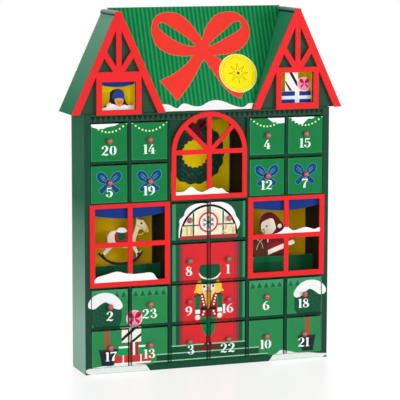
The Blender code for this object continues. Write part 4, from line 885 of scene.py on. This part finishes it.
window_doll = [
    (blind_blue, block(-153, -98, 383.9, 396)), ("#f1c5a0", block(-143, -106, 355, 366)),
    ("#241512", block(-136.4, -112.0, 355, 384.5)),
    ("#d99a5c", smooth([(-131.2, 371.4), (-130.8, 366.2), (-128.2, 362.2), (-124.8, 359.8), (-121.6, 361.3),
        (-119.8, 365.5), (-119.2, 371.0), (-124.4, 373)])),
    ("#1e4192", smooth([(-133.8, 370.2), (-134.6, 375.6), (-132.0, 380.4), (-126.2, 382.4), (-120.8, 380.6),
        (-118.4, 376.4), (-117.8, 371.6), (-119.8, 370.7), (-124.2, 371.9), (-129.2, 371.4)])),
    ("#d8741e", smooth([(-126.6, 367.4), (-122.6, 367.4), (-122.4, 363.6), (-126.8, 363.8)], 3)),
    (eye_black, disc(-127.6, 367.8, 0.6, 1, 10)), (eye_black, disc(-121.4, 367.6, 0.6, 1, 10)),
    (snow, bank([(-155, 359.0), (-147.9, 359.3), (-142.3, 360.4), (-139.2, 363.4), (-134.7, 364.2),
        (-129.7, 362.7), (-124.6, 360.2), (-118.3, 362.8), (-113.2, 361.6), (-108.1, 363.2),
        (-101.7, 360.1), (-96, 360)], [(-96, 350), (-155, 350)]))]
lay_print("left_gable_room_print", front, -0.0067, ["left_gable_room"], window_doll, "#241512")
gifts = [
    ("#f3efe6", block(105, 131.6, 373, 402)),
    ("#1d2019", np.array([(118.3, 400.6), (122.6, 400.6), (133.4, 382.1), (130.2, 380.3)])),
    ("#1d2019", np.array([(113.4, 389.0), (113.4, 385.6), (119.8, 374.4), (123.6, 374.4)])),
    ("#1b3a86", block(104, 158, 350, 373.8)), ("#e3ecfb", block(127.6, 134.2, 350, 373.8)),
    ("#e3ecfb", block(104, 158, 362.8, 367.6)), (sweet_rim, disc(141.4, 383.4, 10.4)),
    (pink, disc(141.4, 383.4, 9.0))]
gifts += ribbon_bow(141.4, 384.2, 0.4, bow_red, "#8d1430")
lay_print("right_gable_room_print", front, -0.0067, ["right_gable_room"], gifts, "#f3efe6")

# Roof
# The sloping card between the gables is printed with darker and lighter flutes,
# a great red bow and a line of snow, and carries a paper seal.
slope = math.atan2(0.1379, 0.0561)
roof = (np.array((0.0, -0.027, 0.3514)), np.array((1.0, 0.0, 0.0)),
    np.array((0.0, math.cos(slope), math.sin(slope))))
roof_board = board("printed_roof_board", "#0f6b3c")
dress(roof_board, "roof_panel")
flutes, flute_shader = new_surface("varnished_flute_print")
place = add_node(flutes, "ShaderNodeTexCoord").outputs["Object"]
axes = add_node(flutes, "ShaderNodeSeparateXYZ", [("Vector", place)])
# One flute is 6 mm wide: the sine of 2 pi x / 6 mm, from dark through mid green to light.
angle = add_node(flutes, "ShaderNodeMath", [(0, axes.outputs["X"]), (1, 2 * math.pi / 0.006)],
    operation="MULTIPLY")
wave = add_node(flutes, "ShaderNodeMath", [(0, angle.outputs[0])], operation="SINE")
share = add_node(flutes, "ShaderNodeMapRange",
    [("Value", wave.outputs[0]), ("From Min", -1.0), ("From Max", 1.0)])
ramp = add_node(flutes, "ShaderNodeValToRGB", [("Fac", share.outputs[0])])
ramp.color_ramp.elements[0].color = linear("#0a703d")
ramp.color_ramp.elements[1].color = linear("#2a9659")
ramp.color_ramp.elements.new(0.5).color = linear("#0f8247")
speckle = add_node(flutes, "ShaderNodeTexNoise", [("Vector", place), ("Scale", 300.0), ("Detail", 4.0)])
speckle_tone = add_node(flutes, "ShaderNodeMapRange", [("Value", speckle.outputs["Fac"]), ("From Min", 0.3),
    ("From Max", 0.7), ("To Min", 0.93), ("To Max", 1.07)])
toned = add_node(flutes, "ShaderNodeVectorMath", [(0, ramp.outputs[0]), ("Scale", speckle_tone.outputs[0])],
    operation="SCALE")
swell = add_node(flutes, "ShaderNodeBump",
    [("Strength", 0.4), ("Distance", 0.0004), ("Height", wave.outputs[0])])
plug(flute_shader, [("Base Color", toned.outputs[0]), ("Normal", swell.outputs[0]), ("Roughness", 0.45),
    ("Specular IOR Level", 0.05)])

great_bow = [
    through([(-11.1, 79.4), (-18.4, 78.5), (-31.3, 78.8), (-42.5, 80.9), (-53.3, 85.7), (-62.3, 93.4),
        (-66.3, 104.1), (-67.3, 115.5), (-64.5, 126.2), (-59.9, 133.9), (-52.1, 139.1), (-41.8, 140.8),
        (-31.9, 140.2), (-23.7, 136.9), (-16.5, 131.0), (-9.6, 123.0), (-4.2, 115.0), (-0.1, 107.8),
        (3.0, 100.2)]),
    through([(3.0, 100.2), (6.9, 109.0), (10.5, 116.9), (16.8, 125.4), (25.2, 133.9), (34.6, 138.5),
        (45.1, 140.3), (55.2, 139.6), (63.5, 135.4), (69.9, 128.7), (73.2, 120.7), (74.1, 111.3),
        (71.3, 102.0), (66.6, 94.8), (59.0, 87.8), (50.4, 83.4), (38.2, 80.0), (26.4, 79.0), (15.0, 78.4)]),
    np.concatenate([through([(-12.5, 79.0), (-21.6, 68.6), (-32.1, 60.7), (-46.0, 52.0), (-64.3, 44.3)]),
        through([(-43.1, 15.6), (-28.0, 31.9), (-16.5, 46.4), (-6.5, 61.1), (1.9, 74.1)])]),
    np.concatenate([
        through([(1.9, 74.1), (9.5, 61.5), (17.3, 47.9), (25.1, 34.2), (35.0, 23.6), (47.1, 15.9)]),
        through([(67.0, 44.0), (48.0, 53.0), (33.0, 65.0), (24.5, 73.2), (16.0, 79.5)])]),
    np.array([(-12.5, 79.0), (3.0, 100.2), (16.3, 79.2), (1.9, 74.1)])]
bow_holes = [
    through([(-6.5, 92.2), (-15.1, 92.6), (-24.8, 95.4), (-34.3, 99.9), (-43.4, 106.5), (-51.2, 113.1),
        (-55.5, 118.1), (-56.1, 123.5), (-53.1, 125.9), (-48.8, 125.6), (-41.5, 121.7), (-32.3, 114.8),
        (-23.1, 108.2), (-14.1, 100.2)]),
    through([(10.7, 91.5), (17.4, 98.1), (27.2, 105.8), (36.9, 112.8), (46.7, 120.5), (53.2, 125.1),
        (60.0, 126.0), (63.1, 122.4), (61.7, 117.3), (55.9, 112.4), (48.0, 108.2), (38.5, 103.4),
        (27.6, 97.9), (16.7, 93.1)])]
ribbon_edge = "#c58a52"
roof_art = [(ribbon_edge, grown(shape, 0.6)) for shape in great_bow]
roof_art += [("#f43c31", shape) for shape in great_bow]
for shape in bow_holes:
    roof_art += [(ribbon_edge, grown(shape, 0.5)), (flutes, shape)]
roof_art += [(snow, bank([(-75.0, 9.0), (-65.7, 11.3), (-60.0, 11.1), (-54.5, 9.8), (-49.3, 6.5),
    (-44.5, 5.2), (-40.5, 8.3), (-35.8, 11.3), (-30.2, 10.8), (-23.4, 8.2), (-16.5, 6.8), (-9.2, 7.6),
    (-3.0, 10.9), (3.2, 13.7), (10.5, 14.8), (17.6, 14.0), (25.9, 11.2), (34.0, 7.3), (42.3, 4.5),
    (49.4, 3.5), (54.1, 5.9), (58.2, 8.7), (65.0, 9.0)], [(75, -2), (-75, -2)]))]
lay_print("roof_print", roof, 0.0, ["roof_panel"], roof_art, flutes)

seal_x, seal_z, seal_yellow, seal_brown = 49, 52, "#ffec1f", "#7d6a10"
seal_rim = disc(seal_x, seal_z, 27.5, 1, 72)
seal_art = [("#fff08a", seal_rim), ("#e8c400", disc(seal_x, seal_z, 25.6, 1, 72)),
            (seal_yellow, disc(seal_x, seal_z, 24.9, 1, 72))]
seal_art += [("#d9b200", disc(*spot, 0.7, 1, 8)) for spot in disc(seal_x, seal_z, 22.0, 1, 40)]
star = [(r * math.cos(a), r * math.sin(a))
    for a, r in zip(np.arange(16) * np.pi / 8 + np.pi / 2, (15, 5.4) * 8)]
seal_art += [(seal_brown, moved(star, seal_x, seal_z)), (seal_yellow, moved(star, seal_x, seal_z, 0.86)),
    (seal_brown, disc(seal_x, seal_z, 2.2, 1, 20))]
lay_print("roof_seal", roof, 0.0, [seal_rim], seal_art, seal_yellow, thickness=0.00025,
    lift=0.0004)
